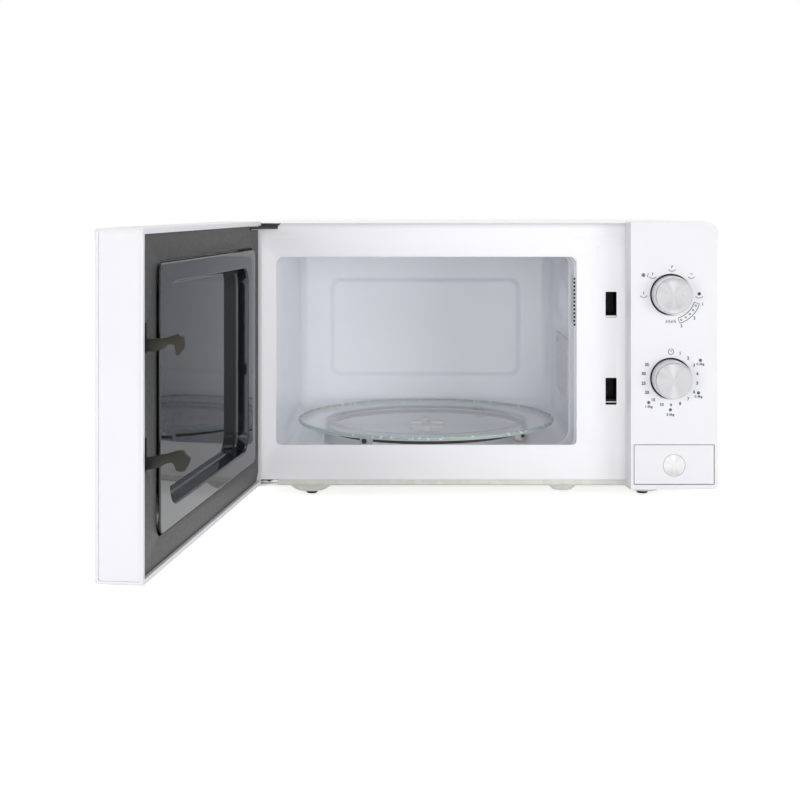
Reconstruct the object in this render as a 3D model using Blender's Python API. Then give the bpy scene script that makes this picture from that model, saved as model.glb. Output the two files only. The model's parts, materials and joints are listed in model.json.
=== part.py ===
"""Counter-top microwave oven with a grill, a side-hinged door, two dials and a door button.

The oven's own frame is used while it is modelled: x = 0 at the cabinet's middle (+x right),
y = 0 at the front frame's face (+y towards the back) and z = 0 under the feet. An empty then
moves everything so that the world origin is below the middle of the whole object, with the
door standing open as it is stored. Door pieces are written where they are with the door
closed, and the door's empty, on the hinge axis, turns them open.
"""
import math

import bmesh
import bpy
from mathutils import Euler, Matrix, Vector

mm = 0.001

# ---- clearances and stock ----
GAP = 0.3 * mm              # between pieces that touch
SHEET = 0.8 * mm            # steel sheet
OVERCUT = 1.0 * mm          # how far a cutter runs past the face it opens

# ---- feet, pan and cabinet ----
FOOT_HEIGHT = 5.2 * mm
FOOT_RADIUS = 5.5 * mm
FOOT_STEM_RADIUS = 3.5 * mm
FOOT_INSET_SIDE = 60.0 * mm     # cabinet side to foot centre
FOOT_INSET_FRONT = 30.0 * mm
FOOT_INSET_REAR = 36.0 * mm
PAD_DROP = 6.3 * mm             # stamped pads under the pan
PAD_SIZE = (48.0 * mm, 46.0 * mm)
PAD_TAPER = 11.0 * mm
BUMP_DROP = 5.2 * mm            # small stamping near the middle of the front edge
BUMP_SIZE = (31.0 * mm, 22.0 * mm)
BUMP_X = 80.5 * mm
CABINET_WIDTH = 440.0 * mm
CABINET_DEPTH = 306.0 * mm      # front frame's face to the back
CABINET_CORNER = 6.0 * mm
FRAME_HEIGHT = 243.0 * mm
FRAME_RISE = 6.7 * mm           # pan's underside to the frame's lower edge
FRAME_FLANGE = 12.0 * mm
PAN_FRONT = 2.4 * mm            # how far the pan's front wall is set back
MOUTH_FLANGE = 10.0 * mm        # liner's flange behind the frame

# ---- cavity ----
CAVITY_WIDTH = 288.5 * mm
CAVITY_HEIGHT = 192.0 * mm
CAVITY_DEPTH = 290.0 * mm
CAVITY_INSET = 26.5 * mm        # cabinet's left side to the cavity's left wall
CAVITY_RISE = 21.5 * mm         # frame's lower edge to the cavity's floor
CAVITY_CORNER = 14.0 * mm
CAVITY_BACK_RADIUS = 12.0 * mm
OPENING_LIP_SIDE = 1.5 * mm     # frame's lip over the cavity's side walls
OPENING_LIP_TOP = 2.1 * mm
OPENING_SILL = 11.0 * mm        # frame's lip above the cavity's floor
OPENING_CORNER = 5.0 * mm

# ---- control panel, dials and button ----
PANEL_WIDTH = 80.4 * mm
PANEL_DEPTH = 35.8 * mm
PANEL_WALL = 2.5 * mm
PANEL_CORNER = 10.0 * mm
FASCIA_DROP = 2.4 * mm          # panel and door reach below the frame
FASCIA_RISE = 1.9 * mm          # and above it
KNOB_INSET = 36.9 * mm          # panel's left side to the dial axes
FUNCTION_KNOB_RISE = 177.6 * mm     # above the frame's lower edge
TIMER_KNOB_RISE = 100.1 * mm
KNOB_RADIUS = 17.6 * mm
KNOB_CLEARANCE = 0.7 * mm
KNOB_REACH = 17.0 * mm          # dial's face beyond the panel
CAP_THICKNESS = 1.9 * mm
SHAFT_RADIUS = 3.0 * mm
UNIT_SIZE = {"timer_unit": 50.0 * mm, "selector_switch": 40.0 * mm}
UNIT_DEPTH = {"timer_unit": 30.0 * mm, "selector_switch": 27.0 * mm}
BUTTON_HEIGHT = 36.2 * mm
BUTTON_RISE = 5.0 * mm          # panel's lower edge to the button's
BUTTON_DEPTH = 17.0 * mm
BUTTON_WALL = 2.0 * mm
BUTTON_TRAVEL = 5.0 * mm
BADGE_RADIUS = 10.1 * mm
LEVER_LIFT = 4.0 * mm

# ---- latch ----
LATCH_INSET = 13.6 * mm         # panel's left side to the middle of the latch slots
LATCH_SLOT_WIDTH = 10.4 * mm
UPPER_HOOK_RISE = 163.5 * mm    # hook arm's middle above the frame's lower edge
LOWER_HOOK_RISE = 80.8 * mm
HOOK_THICKNESS = 4.0 * mm
HOOK_LIFT = 4.0 * mm
LATCH_BAR_WIDTH = 8.0 * mm
LATCH_BAR_DEPTH = 5.0 * mm
SWITCH_SIZE = (10.4 * mm, 16.0 * mm, 28.0 * mm)

# ---- door ----
DOOR_GAP = 1.5 * mm             # door to control panel
DOOR_SEAT = 0.75 * mm           # door's inner face to the frame's face
DOOR_WALL = 4.0 * mm
DOOR_FACE = 3.0 * mm
DOOR_OPEN_DEG = 96.6
HINGE_INSET = 4.2 * mm
HINGE_SETBACK = 12.0 * mm       # hinge axis in front of the frame's face
HINGE_EYE = 4.0 * mm
HINGE_PLATE = 2.0 * mm
HINGE_CLEAR = 1.2 * mm          # upper bracket's plate below the frame's flange
PIN_RADIUS = 2.2 * mm
PIN_CLEARANCE = 0.5 * mm
PIN_LENGTH = 14.0 * mm
HINGE_ROOT = (8.0 * mm, 30.0 * mm)      # bracket's span, from the cabinet's side
DOOR_GLASS_THICKNESS = 3.0 * mm
WINDOW_MARGIN = 4.0 * mm        # outer window inside the cavity opening, each side
CHOKE_RECESS = 1.85 * mm        # choke cover below the door's rim
CHOKE_THICKNESS = 1.5 * mm
INNER_PANEL_LIP = (2.2 * mm, 3.8 * mm, 9.0 * mm, 7.6 * mm)  # beyond the opening: left right low top
INNER_PANEL_GROOVE = 1.8 * mm
INNER_RECESS_MARGIN = (27.5 * mm, 24.3 * mm, 16.0 * mm, 15.5 * mm)
INNER_RECESS_DEPTH = 11.5 * mm
INNER_PANEL_THICKNESS = 1.2 * mm

# ---- turntable ----
TURNTABLE_SETBACK = 145.0 * mm
ROLLER_RADIUS = 6.5 * mm
ROLLER_WIDTH = 6.0 * mm
ROLLER_CIRCLE = 111.0 * mm      # axis of the turntable to the middle of a roller
ROLLER_COUNT = 4
FIRST_ROLLER_DEG = -122.0
AXLE_RADIUS = 1.6 * mm
RING_WALL = 5.0 * mm
RING_HEIGHT = 3.4 * mm
PLATE_RADIUS = 133.5 * mm
PLATE_FLAT_RADIUS = 93.0 * mm
PLATE_THICKNESS = 3.6 * mm
PLATE_SINK = 5.2 * mm           # its flat middle below the ring that rests on the rollers
PLATE_RIM = 7.9 * mm            # overall height
COUPLER_RADIUS = 20.0 * mm
COUPLER_STEM_RADIUS = 3.5 * mm
TURNTABLE_MOTOR_RADIUS = 24.5 * mm
TURNTABLE_MOTOR_HEIGHT = 17.0 * mm

# ---- power and cooling parts ----
WAVEGUIDE = (35.0 * mm, 100.0 * mm, 110.0 * mm)
WAVEGUIDE_SETBACK = 103.0 * mm
WAVEGUIDE_RISE = 40.0 * mm      # cavity floor to its lower end
MICA_SIZE = (119.0 * mm, 63.0 * mm)
MICA_SETBACK = 92.0 * mm
MICA_RISE = 38.0 * mm
MICA_THICKNESS = 0.5 * mm
ANTENNA_RADIUS = 8.0 * mm
MAGNETRON = (40.0 * mm, 90.0 * mm, 74.0 * mm)
TRANSFORMER = (78.0 * mm, 70.0 * mm, 76.0 * mm)
TRANSFORMER_SETBACK = 80.0 * mm
CAPACITOR = (36.0 * mm, 90.0 * mm, 47.0 * mm)
CAPACITOR_SETBACK = 180.0 * mm
FAN_INSET = 58.0 * mm           # cabinet's right side to the fan axis
FAN_RISE = 131.5 * mm           # frame's lower edge to the fan axis
FAN_RADIUS = 43.0 * mm
FAN_BLADES = 5
DUCT_HALF = 52.0 * mm
DUCT_DEPTH = 43.0 * mm
GLAND_BORE = 4.0 * mm
GLAND_RADIUS = 7.6 * mm
GLAND_FLANGE = 3.0 * mm
HEATER_RADIUS = 5.0 * mm
REFLECTOR = (162.0 * mm, 100.0 * mm, 17.0 * mm)

# ---- derived levels and edges ----
PAN_BOTTOM = FOOT_HEIGHT + GAP + PAD_DROP
PAN_FLOOR = PAN_BOTTOM + SHEET
FRAME_BOTTOM = PAN_BOTTOM + FRAME_RISE
FRAME_TOP = FRAME_BOTTOM + FRAME_HEIGHT
HALF = CABINET_WIDTH / 2
INSIDE = HALF - SHEET - GAP             # what fits inside the cover
PAN_TOP = FRAME_BOTTOM + SHEET
CAVITY_LEFT = -HALF + CAVITY_INSET
CAVITY_RIGHT = CAVITY_LEFT + CAVITY_WIDTH
CAVITY_FLOOR = FRAME_BOTTOM + CAVITY_RISE
CAVITY_TOP = CAVITY_FLOOR + CAVITY_HEIGHT
CAVITY_MOUTH = SHEET + GAP
CAVITY_BACK = CAVITY_MOUTH + CAVITY_DEPTH
OPEN_LEFT = CAVITY_LEFT + OPENING_LIP_SIDE
OPEN_RIGHT = CAVITY_RIGHT - OPENING_LIP_SIDE
OPEN_BOTTOM = CAVITY_FLOOR + OPENING_SILL
OPEN_TOP = CAVITY_TOP - OPENING_LIP_TOP
FASCIA_BOTTOM = FRAME_BOTTOM - FASCIA_DROP
FASCIA_TOP = FRAME_TOP + FASCIA_RISE
PANEL_LEFT = HALF - PANEL_WIDTH
KNOB_X = PANEL_LEFT + KNOB_INSET
KNOB_Z = {"function": FRAME_BOTTOM + FUNCTION_KNOB_RISE, "timer": FRAME_BOTTOM + TIMER_KNOB_RISE}
BUTTON_LEFT = PANEL_LEFT + PANEL_WALL + 2 * GAP
BUTTON_RIGHT = HALF - PANEL_WALL - 4 * GAP
BUTTON_BOTTOM = FASCIA_BOTTOM + BUTTON_RISE
BUTTON_TOP = BUTTON_BOTTOM + BUTTON_HEIGHT
LATCH_X = PANEL_LEFT - LATCH_INSET
HOOK_Z = {"upper": FRAME_BOTTOM + UPPER_HOOK_RISE, "lower": FRAME_BOTTOM + LOWER_HOOK_RISE}
DOOR_LEFT = -HALF
DOOR_RIGHT = PANEL_LEFT - DOOR_GAP
DOOR_OUT = -PANEL_DEPTH
DOOR_IN = -DOOR_SEAT
HINGE = Vector((-HALF + HINGE_INSET, -HINGE_SETBACK, 0.0))
CHOKE_FACE = DOOR_IN - CHOKE_RECESS
CHOKE_BACK = CHOKE_FACE - CHOKE_THICKNESS
RECESS_FLOOR = DOOR_IN - INNER_RECESS_DEPTH
TURN_X = (CAVITY_LEFT + CAVITY_RIGHT) / 2
TURN_Y = TURNTABLE_SETBACK
ROLLER_Z = CAVITY_FLOOR + GAP + ROLLER_RADIUS
PLATE_SEAT = ROLLER_Z + ROLLER_RADIUS + GAP
PLATE_BOTTOM = PLATE_SEAT - PLATE_SINK
LINER_RIGHT = CAVITY_RIGHT + SHEET + GAP        # where pieces on the liner's right wall start
FAN_X = HALF - FAN_INSET
FAN_Z = FRAME_BOTTOM + FAN_RISE
REAR_INNER = CABINET_DEPTH - SHEET - GAP        # where pieces on the rear panel start
DUCT_FRONT = REAR_INNER - DUCT_DEPTH
ROD_Y = (20.0 * mm, 27.0 * mm)                  # release lever, under the lower hook's head
RAMP_SLOPE = LEVER_LIFT / BUTTON_TRAVEL
ARM_Y = (8.0 * mm, 28.0 * mm)                   # button's cross arm, behind the frame
ARM_Z = (BUTTON_BOTTOM + 13.0 * mm, BUTTON_BOTTOM + 29.4 * mm)
FAN_VENT_Y = CABINET_DEPTH - 60.0 * mm
GLAND_PLACE = (HALF - 25.0 * mm, FRAME_BOTTOM + 41.5 * mm)
BADGE_PLACE = (PANEL_LEFT + 39.9 * mm, BUTTON_BOTTOM + 17.4 * mm)
ANTENNA_PLACE = (WAVEGUIDE_SETBACK + WAVEGUIDE[1] / 2, CAVITY_FLOOR + 125.0 * mm)
HOOK_UNDERSIDE = {"upper": HOOK_Z["upper"] - 7.5 * mm, "lower": HOOK_Z["lower"] - 5.6 * mm}
LEVER_TOP = HOOK_UNDERSIDE["lower"] - 0.5 * mm
LUG_TOP = LEVER_TOP - 30.0 * mm
SHELF_BOTTOM = LUG_TOP + 12.0 * mm + LEVER_LIFT
LATCH_BAR_TOP = HOOK_Z["upper"] + 24.0 * mm
LATCH_STOP = LATCH_BAR_TOP + 12.0 * mm + HOOK_LIFT

PAINTS = {
    "white_enamel": ((0.86, 0.86, 0.88), 0.35, 0.0),
    "white_plastic": ((0.85, 0.85, 0.86), 0.4, 0.0),
    "cavity_enamel": ((0.48, 0.50, 0.55), 0.35, 0.0),
    "pan_steel": ((0.57, 0.59, 0.54), 0.45, 0.6),
    "zinc_steel": ((0.60, 0.61, 0.62), 0.4, 0.9),
    "dark_plastic": ((0.10, 0.10, 0.09), 0.5, 0.0),
    "choke_plastic": ((0.10, 0.10, 0.095), 0.55, 0.0),
    "gloss_dark": ((0.03, 0.035, 0.04), 0.08, 0.0),
    "smoked_glass": ((0.03, 0.03, 0.035), 0.05, 0.0),
    "plate_glass": ((0.75, 0.86, 0.83), 0.03, 0.0),
    "brushed_metal": ((0.72, 0.72, 0.73), 0.3, 1.0),
    "rubber": ((0.02, 0.02, 0.02), 0.8, 0.0),
    "mica": ((0.55, 0.53, 0.48), 0.6, 0.0),
    "ring_plastic": ((0.07, 0.045, 0.03), 0.5, 0.0),
    "roller_plastic": ((0.80, 0.79, 0.75), 0.4, 0.0),
    "core_steel": ((0.22, 0.22, 0.23), 0.6, 0.5),
    "cast_aluminium": ((0.70, 0.71, 0.72), 0.35, 1.0),
    "can_aluminium": ((0.70, 0.71, 0.72), 0.35, 1.0),
    "bell_metal": ((0.65, 0.48, 0.20), 0.35, 1.0),
    "circuit_board": ((0.05, 0.20, 0.08), 0.5, 0.0),
    "lamp_glass": ((0.85, 0.85, 0.82), 0.1, 0.0),
    "spring_steel": ((0.55, 0.55, 0.56), 0.25, 1.0),
    "ceramic": ((0.82, 0.80, 0.74), 0.5, 0.0),
    "quartz": ((0.80, 0.80, 0.78), 0.15, 0.0),
}
MATERIALS = {}
AXES = {"X": (1, 2, 0), "Y": (0, 2, 1), "Z": (0, 1, 2)}


# ---- mesh makers: each returns a bmesh in the oven's own frame ----
def corner(axis, a, b, t):
    """A point from its two coordinates across an axis and the one along it."""
    point = [0.0, 0.0, 0.0]
    first, second, along = AXES[axis]
    point[first], point[second], point[along] = a, b, t
    return Vector(point)


def prism(axis, outline, low, high):
    """An outline across an axis, extruded from low to high along it."""
    bm = bmesh.new()
    face = bm.faces.new([bm.verts.new(corner(axis, a, b, low)) for a, b in outline])
    grown = bmesh.ops.extrude_face_region(bm, geom=[face])["geom"]
    moved = [item for item in grown if isinstance(item, bmesh.types.BMVert)]
    bmesh.ops.translate(bm, verts=moved, vec=corner(axis, 0, 0, high - low))
    bmesh.ops.recalc_face_normals(bm, faces=bm.faces)
    return bm


def block(x0, x1, y0, y1, z0, z1):
    return prism("Z", [(x0, y0), (x1, y0), (x1, y1), (x0, y1)], z0, z1)


def rounded(a0, a1, b0, b1, radius, steps=3):
    """A rectangle with round corners; radius is one number or four from (a0, b0) round."""
    radii = radius if isinstance(radius, tuple) else (radius,) * 4
    centres = [(a0, b0, 1, 1, 180), (a1, b0, -1, 1, 270), (a1, b1, -1, -1, 0), (a0, b1, 1, -1, 90)]
    points = []
    for (a, b, sa, sb, start), r in zip(centres, radii):
        if r <= 0:
            points.append((a, b))
            continue
        for step in range(steps + 1):
            turn = math.radians(start + 90 * step / steps)
            points.append((a + sa * r + r * math.cos(turn), b + sb * r + r * math.sin(turn)))
    return points


def circle(a, b, radius, sides=24):
    turns = [2 * math.pi * side / sides for side in range(sides)]
    return [(a + radius * math.cos(t), b + radius * math.sin(t)) for t in turns]


def rod(axis, centre, radius, low, high, sides=24):
    return prism(axis, circle(*centre, radius, sides), low, high)


def turned(axis, centre, profile, steps=24):
    """A profile of (radius, place along the axis) spun once round the axis."""
    bm = bmesh.new()
    verts = [bm.verts.new((r, 0.0, t)) for r, t in profile]
    closed = profile[0][0] > 0 or profile[-1][0] > 0
    pairs = list(zip(verts, verts[1:])) + ([(verts[-1], verts[0])] if closed else [])
    edges = [bm.edges.new(pair) for pair in pairs]
    bmesh.ops.spin(bm, geom=verts + edges, cent=(0, 0, 0), axis=(0, 0, 1), dvec=(0, 0, 0),
                   angle=2 * math.pi, steps=steps, use_merge=True)
    bmesh.ops.remove_doubles(bm, verts=bm.verts, dist=0.001 * mm)
    rows = {"X": Matrix(((0, 0, 1), (1, 0, 0), (0, 1, 0))),
            "Y": Matrix(((1, 0, 0), (0, 0, 1), (0, -1, 0))),
            "Z": Matrix.Identity(3)}[axis]
    bmesh.ops.transform(bm, matrix=rows.to_4x4(), verts=bm.verts)
    bmesh.ops.translate(bm, verts=bm.verts, vec=corner(axis, *centre, 0))
    bmesh.ops.recalc_face_normals(bm, faces=bm.faces)
    return bm


def frustum(x, y, size, taper, z_low, z_high):
    """A stamped pad: its lower face is smaller than its upper one by taper on each side."""
    bm = block(x - size[0] / 2, x + size[0] / 2, y - size[1] / 2, y + size[1] / 2, z_low, z_high)
    for vert in bm.verts:
        if vert.co.z < (z_low + z_high) / 2:
            vert.co.x -= math.copysign(taper, vert.co.x - x)
            vert.co.y -= math.copysign(taper, vert.co.y - y)
    return bm


def soften(bm, pick, width, segments=2):
    """Bevel the edges that pick(edge) chooses."""
    edges = [edge for edge in bm.edges if pick(edge)]
    bmesh.ops.bevel(bm, geom=edges, offset=width, segments=segments, profile=0.5,
                    affect="EDGES", material=-1)
    return bm


def at_level(axis, level):
    """Chooses the edges that lie in the plane at this place along the axis."""
    along = AXES[axis][2]
    return lambda edge: all(abs(vert.co[along] - level) < 0.01 * mm for vert in edge.verts)


def spun(bm, matrix):
    bmesh.ops.transform(bm, matrix=matrix, verts=bm.verts)
    return bm


# ---- objects ----
def make_materials():
    for name, (color, roughness, metallic) in PAINTS.items():
        material = bpy.data.materials.new(name)
        material.use_nodes = True
        shader = material.node_tree.nodes["Principled BSDF"]
        shader.inputs["Base Color"].default_value = (*color, 1.0)
        shader.inputs["Roughness"].default_value = roughness
        shader.inputs["Metallic"].default_value = metallic
        MATERIALS[name] = material


def make_empty(name, place, parent=None, turn_deg=0.0):
    empty = bpy.data.objects.new(name, None)
    empty["home"] = list(place)
    bpy.context.collection.objects.link(empty)
    if parent:
        empty.parent = parent
        empty.location = Vector(place) - Vector(parent["home"])
    empty.rotation_euler = Euler((0, 0, math.radians(turn_deg)))
    return empty


def add_object(name, bm, parent, pivot):
    """An object at its pivot, holding a bmesh that was written in the oven's own frame."""
    home = Vector(parent["home"])
    origin = home if pivot is None else Vector(pivot)
    bmesh.ops.translate(bm, verts=bm.verts, vec=-origin)
    mesh = bpy.data.meshes.new(name)
    bm.to_mesh(mesh)
    bm.free()
    mesh.shade_smooth()
    mesh.set_sharp_from_angle(angle=math.radians(35))
    obj = bpy.data.objects.new(name, mesh)
    bpy.context.collection.objects.link(obj)
    obj.parent = parent
    obj.location = origin - home
    return obj


def piece(name, bm, paint, parent, add=(), cut=(), then_add=(), then_cut=(), pivot=None):
    """A sub-part: a base shape, with shapes joined to it and cut from it in the order given."""
    obj = add_object(name, bm, parent, pivot)
    obj.data.materials.append(MATERIALS[paint])
    steps = [("UNION", add), ("DIFFERENCE", cut), ("UNION", then_add), ("DIFFERENCE", then_cut)]
    for operation, shape in [(operation, shape) for operation, shapes in steps for shape in shapes]:
        tool = add_object(f"{name}.tool", shape, parent, pivot)
        tool.hide_render = True
        tool.display_type = "WIRE"
        modifier = obj.modifiers.new(tool.name, "BOOLEAN")
        modifier.operation = operation
        modifier.solver = "EXACT"
        modifier.object = tool


def coil_spring(name, x, y, radius, wire, z_low, z_high, turns, parent):
    """A helix of round wire between two levels."""
    points_a_turn = 8
    count = turns * points_a_turn + 1
    curve = bpy.data.curves.new(name, "CURVE")
    curve.dimensions = "3D"
    spline = curve.splines.new("POLY")
    spline.points.add(count - 1)
    low, high = z_low + 1.5 * wire, z_high - 1.5 * wire
    home = Vector(parent["home"])
    for number, point in enumerate(spline.points):
        turn = 2 * math.pi * number / points_a_turn
        place = Vector((x + radius * math.cos(turn), y + radius * math.sin(turn),
                        low + (high - low) * number / (count - 1))) - home
        point.co = (*place, 1.0)
    curve.bevel_depth = wire
    curve.bevel_resolution = 0
    curve.use_fill_caps = True
    curve.materials.append(MATERIALS["spring_steel"])
    obj = bpy.data.objects.new(name, curve)
    bpy.context.collection.objects.link(obj)
    obj.parent = parent
    return obj


# ---- cabinet ----
def feet_places():
    for row, y in (("front", FOOT_INSET_FRONT), ("rear", CABINET_DEPTH - FOOT_INSET_REAR)):
        for side, x in (("left", -HALF + FOOT_INSET_SIDE), ("right", HALF - FOOT_INSET_SIDE)):
            yield f"foot_{row}_{side}", x, y


def make_feet(root):
    top = FOOT_HEIGHT
    stem_top = top + PAD_DROP / 2 + SHEET
    for name, x, y in feet_places():
        profile = [(0, 0), (FOOT_RADIUS - 1.5 * mm, 0), (FOOT_RADIUS, 1.2 * mm), (FOOT_RADIUS, top),
                   (FOOT_STEM_RADIUS, top), (FOOT_STEM_RADIUS, stem_top), (0, stem_top)]
        piece(name, turned("Z", (x, y), profile, 16), "rubber", root)


def make_base_pan(root):
    walls = rounded(-INSIDE, INSIDE, PAN_FRONT, CABINET_DEPTH, 4 * mm)
    hollow = rounded(-INSIDE + SHEET, INSIDE - SHEET, PAN_FRONT + SHEET, CABINET_DEPTH - SHEET, 3.2 * mm)
    add, cut = [], [prism("Z", hollow, PAN_FLOOR, PAN_TOP + OVERCUT)]
    pads = [(x, y, PAD_SIZE, PAD_TAPER, PAD_DROP) for _, x, y in feet_places()]
    pads.append((BUMP_X, PAN_FRONT + BUMP_SIZE[1], BUMP_SIZE, PAD_TAPER / 2, BUMP_DROP))
    for x, y, size, taper, drop in pads:
        inner = (size[0] - 2 * SHEET, size[1] - 2 * SHEET)
        add.append(frustum(x, y, size, taper, PAN_BOTTOM - drop, PAN_BOTTOM + SHEET / 2))
        cut.append(frustum(x, y, inner, taper, PAN_FLOOR - drop, PAN_FLOOR + OVERCUT))
    for _, x, y in feet_places():
        cut.append(rod("Z", (x, y), FOOT_STEM_RADIUS + GAP, 0, PAN_BOTTOM, 16))
    piece("base_pan", prism("Z", walls, PAN_BOTTOM, PAN_TOP), "pan_steel", root, add, cut)


def vent_slots(axis, a, b, length, width, pitch, count, low, high):
    """Parallel slots, stepped along the second coordinate, as one cutter."""
    slots = bmesh.new()
    for number in range(count):
        level = b + pitch * (number - (count - 1) / 2)
        slot = prism(axis, [(a - length / 2, level - width / 2), (a + length / 2, level - width / 2),
                            (a + length / 2, level + width / 2), (a - length / 2, level + width / 2)],
                     low, high)
        copy = bpy.data.meshes.new("slot")
        slot.to_mesh(copy)
        slot.free()
        slots.from_mesh(copy)
        bpy.data.meshes.remove(copy)
    return slots


def make_outer_cover(root):
    outer = rounded(-HALF, HALF, FRAME_BOTTOM, FRAME_TOP, (0, 0, CABINET_CORNER, CABINET_CORNER))
    inner_radius = CABINET_CORNER - SHEET
    inner = rounded(-HALF + SHEET, HALF - SHEET, FRAME_BOTTOM - OVERCUT, FRAME_TOP - SHEET,
                    (0, 0, inner_radius, inner_radius))
    front = SHEET + GAP
    vents = vent_slots("X", FAN_VENT_Y, FAN_Z, 50 * mm, 3 * mm, 8 * mm, 9,
                       HALF - 3 * SHEET, HALF + OVERCUT)
    exhaust = vent_slots("X", FAN_VENT_Y, FAN_Z, 50 * mm, 3 * mm, 8 * mm, 7,
                         -HALF - OVERCUT, -HALF + 3 * SHEET)
    piece("outer_cover", prism("Y", outer, front, CABINET_DEPTH), "white_enamel", root,
          cut=[prism("Y", inner, front - OVERCUT, CABINET_DEPTH + OVERCUT), vents, exhaust])


def tray_outlines(bottom):
    """The outlines of a pressed panel that fits inside the cover, and of its hollow."""
    radius = CABINET_CORNER - SHEET - GAP
    top = FRAME_TOP - SHEET - GAP
    return (rounded(-INSIDE, INSIDE, bottom, top, radius),
            rounded(-INSIDE + SHEET, INSIDE - SHEET, bottom + SHEET, top - SHEET, radius - SHEET))


def latch_slot_levels():
    """The frame's latch slots as (lower, upper) levels, from the hook arms' middles."""
    return [(HOOK_Z["upper"] - 10.0 * mm, HOOK_Z["upper"] + 14.4 * mm),
            (HOOK_Z["lower"] - 9.9 * mm, HOOK_Z["lower"] + 15.5 * mm)]


def make_front_frame(root):
    face = rounded(-HALF, HALF, FRAME_BOTTOM, FRAME_TOP, CABINET_CORNER)
    flange, hollow = tray_outlines(FRAME_BOTTOM + SHEET + GAP)
    opening = rounded(OPEN_LEFT, OPEN_RIGHT, OPEN_BOTTOM, OPEN_TOP, OPENING_CORNER)
    front, back = -OVERCUT, SHEET + OVERCUT
    half_slot = LATCH_SLOT_WIDTH / 2
    cut = [prism("Y", hollow, SHEET, FRAME_FLANGE + OVERCUT), prism("Y", opening, front, back)]
    for low, high in latch_slot_levels():
        cut.append(block(LATCH_X - half_slot, LATCH_X + half_slot, front, back, low, high))
    for level in KNOB_Z.values():
        cut.append(rod("Y", (KNOB_X, level), SHAFT_RADIUS + 1 * mm, front, back, 16))
    cut.append(block(BUTTON_LEFT + 1 * mm, BUTTON_LEFT + 15 * mm, front, back,
                     ARM_Z[0] - 1 * mm, ARM_Z[1] + 1 * mm))
    arm_top = upper_bracket_top()
    cut.append(block(-HALF + HINGE_ROOT[0] - 2 * GAP, -HALF + HINGE_ROOT[1] + 2 * GAP, front, back,
                     arm_top - HINGE_PLATE - 3 * GAP, arm_top + GAP))
    piece("front_frame", prism("Y", face, 0, SHEET), "white_enamel", root,
          add=[prism("Y", flange, SHEET / 2, FRAME_FLANGE)], cut=cut)


def make_rear_panel(root):
    outline, hollow = tray_outlines(PAN_TOP + GAP)
    flange_front = CABINET_DEPTH - FRAME_FLANGE
    grille = vent_slots("Y", FAN_X, FAN_Z, 1.5 * FAN_RADIUS, 3 * mm, 8 * mm, 9,
                        CABINET_DEPTH - 3 * SHEET, CABINET_DEPTH + OVERCUT)
    outlet = vent_slots("Y", TURN_X, FAN_Z, 90 * mm, 3 * mm, 8 * mm, 5,
                        CABINET_DEPTH - 3 * SHEET, CABINET_DEPTH + OVERCUT)
    gland = rod("Y", GLAND_PLACE, GLAND_RADIUS + GAP, CABINET_DEPTH - 3 * SHEET,
                CABINET_DEPTH + OVERCUT, 20)
    piece("rear_panel", prism("Y", outline, flange_front, CABINET_DEPTH), "zinc_steel", root,
          cut=[prism("Y", hollow, flange_front - OVERCUT, CABINET_DEPTH - SHEET), grille, outlet, gland])


def make_cord_gland(root):
    outside = CABINET_DEPTH + GAP
    profile = [(GLAND_BORE, outside + GLAND_FLANGE), (GLAND_RADIUS + 2 * mm, outside + GLAND_FLANGE),
               (GLAND_RADIUS + 3.4 * mm, outside), (GLAND_RADIUS, outside),
               (GLAND_RADIUS, CABINET_DEPTH - 8 * mm), (GLAND_BORE, CABINET_DEPTH - 8 * mm)]
    piece("cord_gland", turned("Y", GLAND_PLACE, profile, 20), "dark_plastic", root)


def make_cavity_liner(root):
    wall = SHEET
    outer = prism("Y", rounded(CAVITY_LEFT - wall, CAVITY_RIGHT + wall, CAVITY_FLOOR - wall,
                               CAVITY_TOP + wall, CAVITY_CORNER + wall), CAVITY_MOUTH, CAVITY_BACK + wall)
    soften(outer, at_level("Y", CAVITY_BACK + wall), CAVITY_BACK_RADIUS + wall, 3)
    inner = prism("Y", rounded(CAVITY_LEFT, CAVITY_RIGHT, CAVITY_FLOOR, CAVITY_TOP, CAVITY_CORNER),
                  CAVITY_MOUTH - OVERCUT, CAVITY_BACK)
    soften(inner, at_level("Y", CAVITY_BACK), CAVITY_BACK_RADIUS, 3)
    reach = MOUTH_FLANGE
    mouth = prism("Y", rounded(CAVITY_LEFT - reach, CAVITY_RIGHT + reach, CAVITY_FLOOR - reach,
                               CAVITY_TOP + reach, CAVITY_CORNER), CAVITY_MOUTH, CAVITY_MOUTH + wall)
    drive = rod("Z", (TURN_X, TURN_Y), COUPLER_STEM_RADIUS + 4 * mm, CAVITY_FLOOR - 3 * mm,
                CAVITY_FLOOR + 3 * mm)
    port = block(CAVITY_RIGHT - 3 * mm, CAVITY_RIGHT + 3 * mm, MICA_SETBACK + 18 * mm,
                 MICA_SETBACK + MICA_SIZE[0] - 18 * mm, CAVITY_FLOOR + MICA_RISE + 10 * mm,
                 CAVITY_FLOOR + MICA_RISE + MICA_SIZE[1] - 10 * mm)
    piece("cavity_liner", outer, "cavity_enamel", root, add=[mouth], cut=[inner, drive, port])


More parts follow.
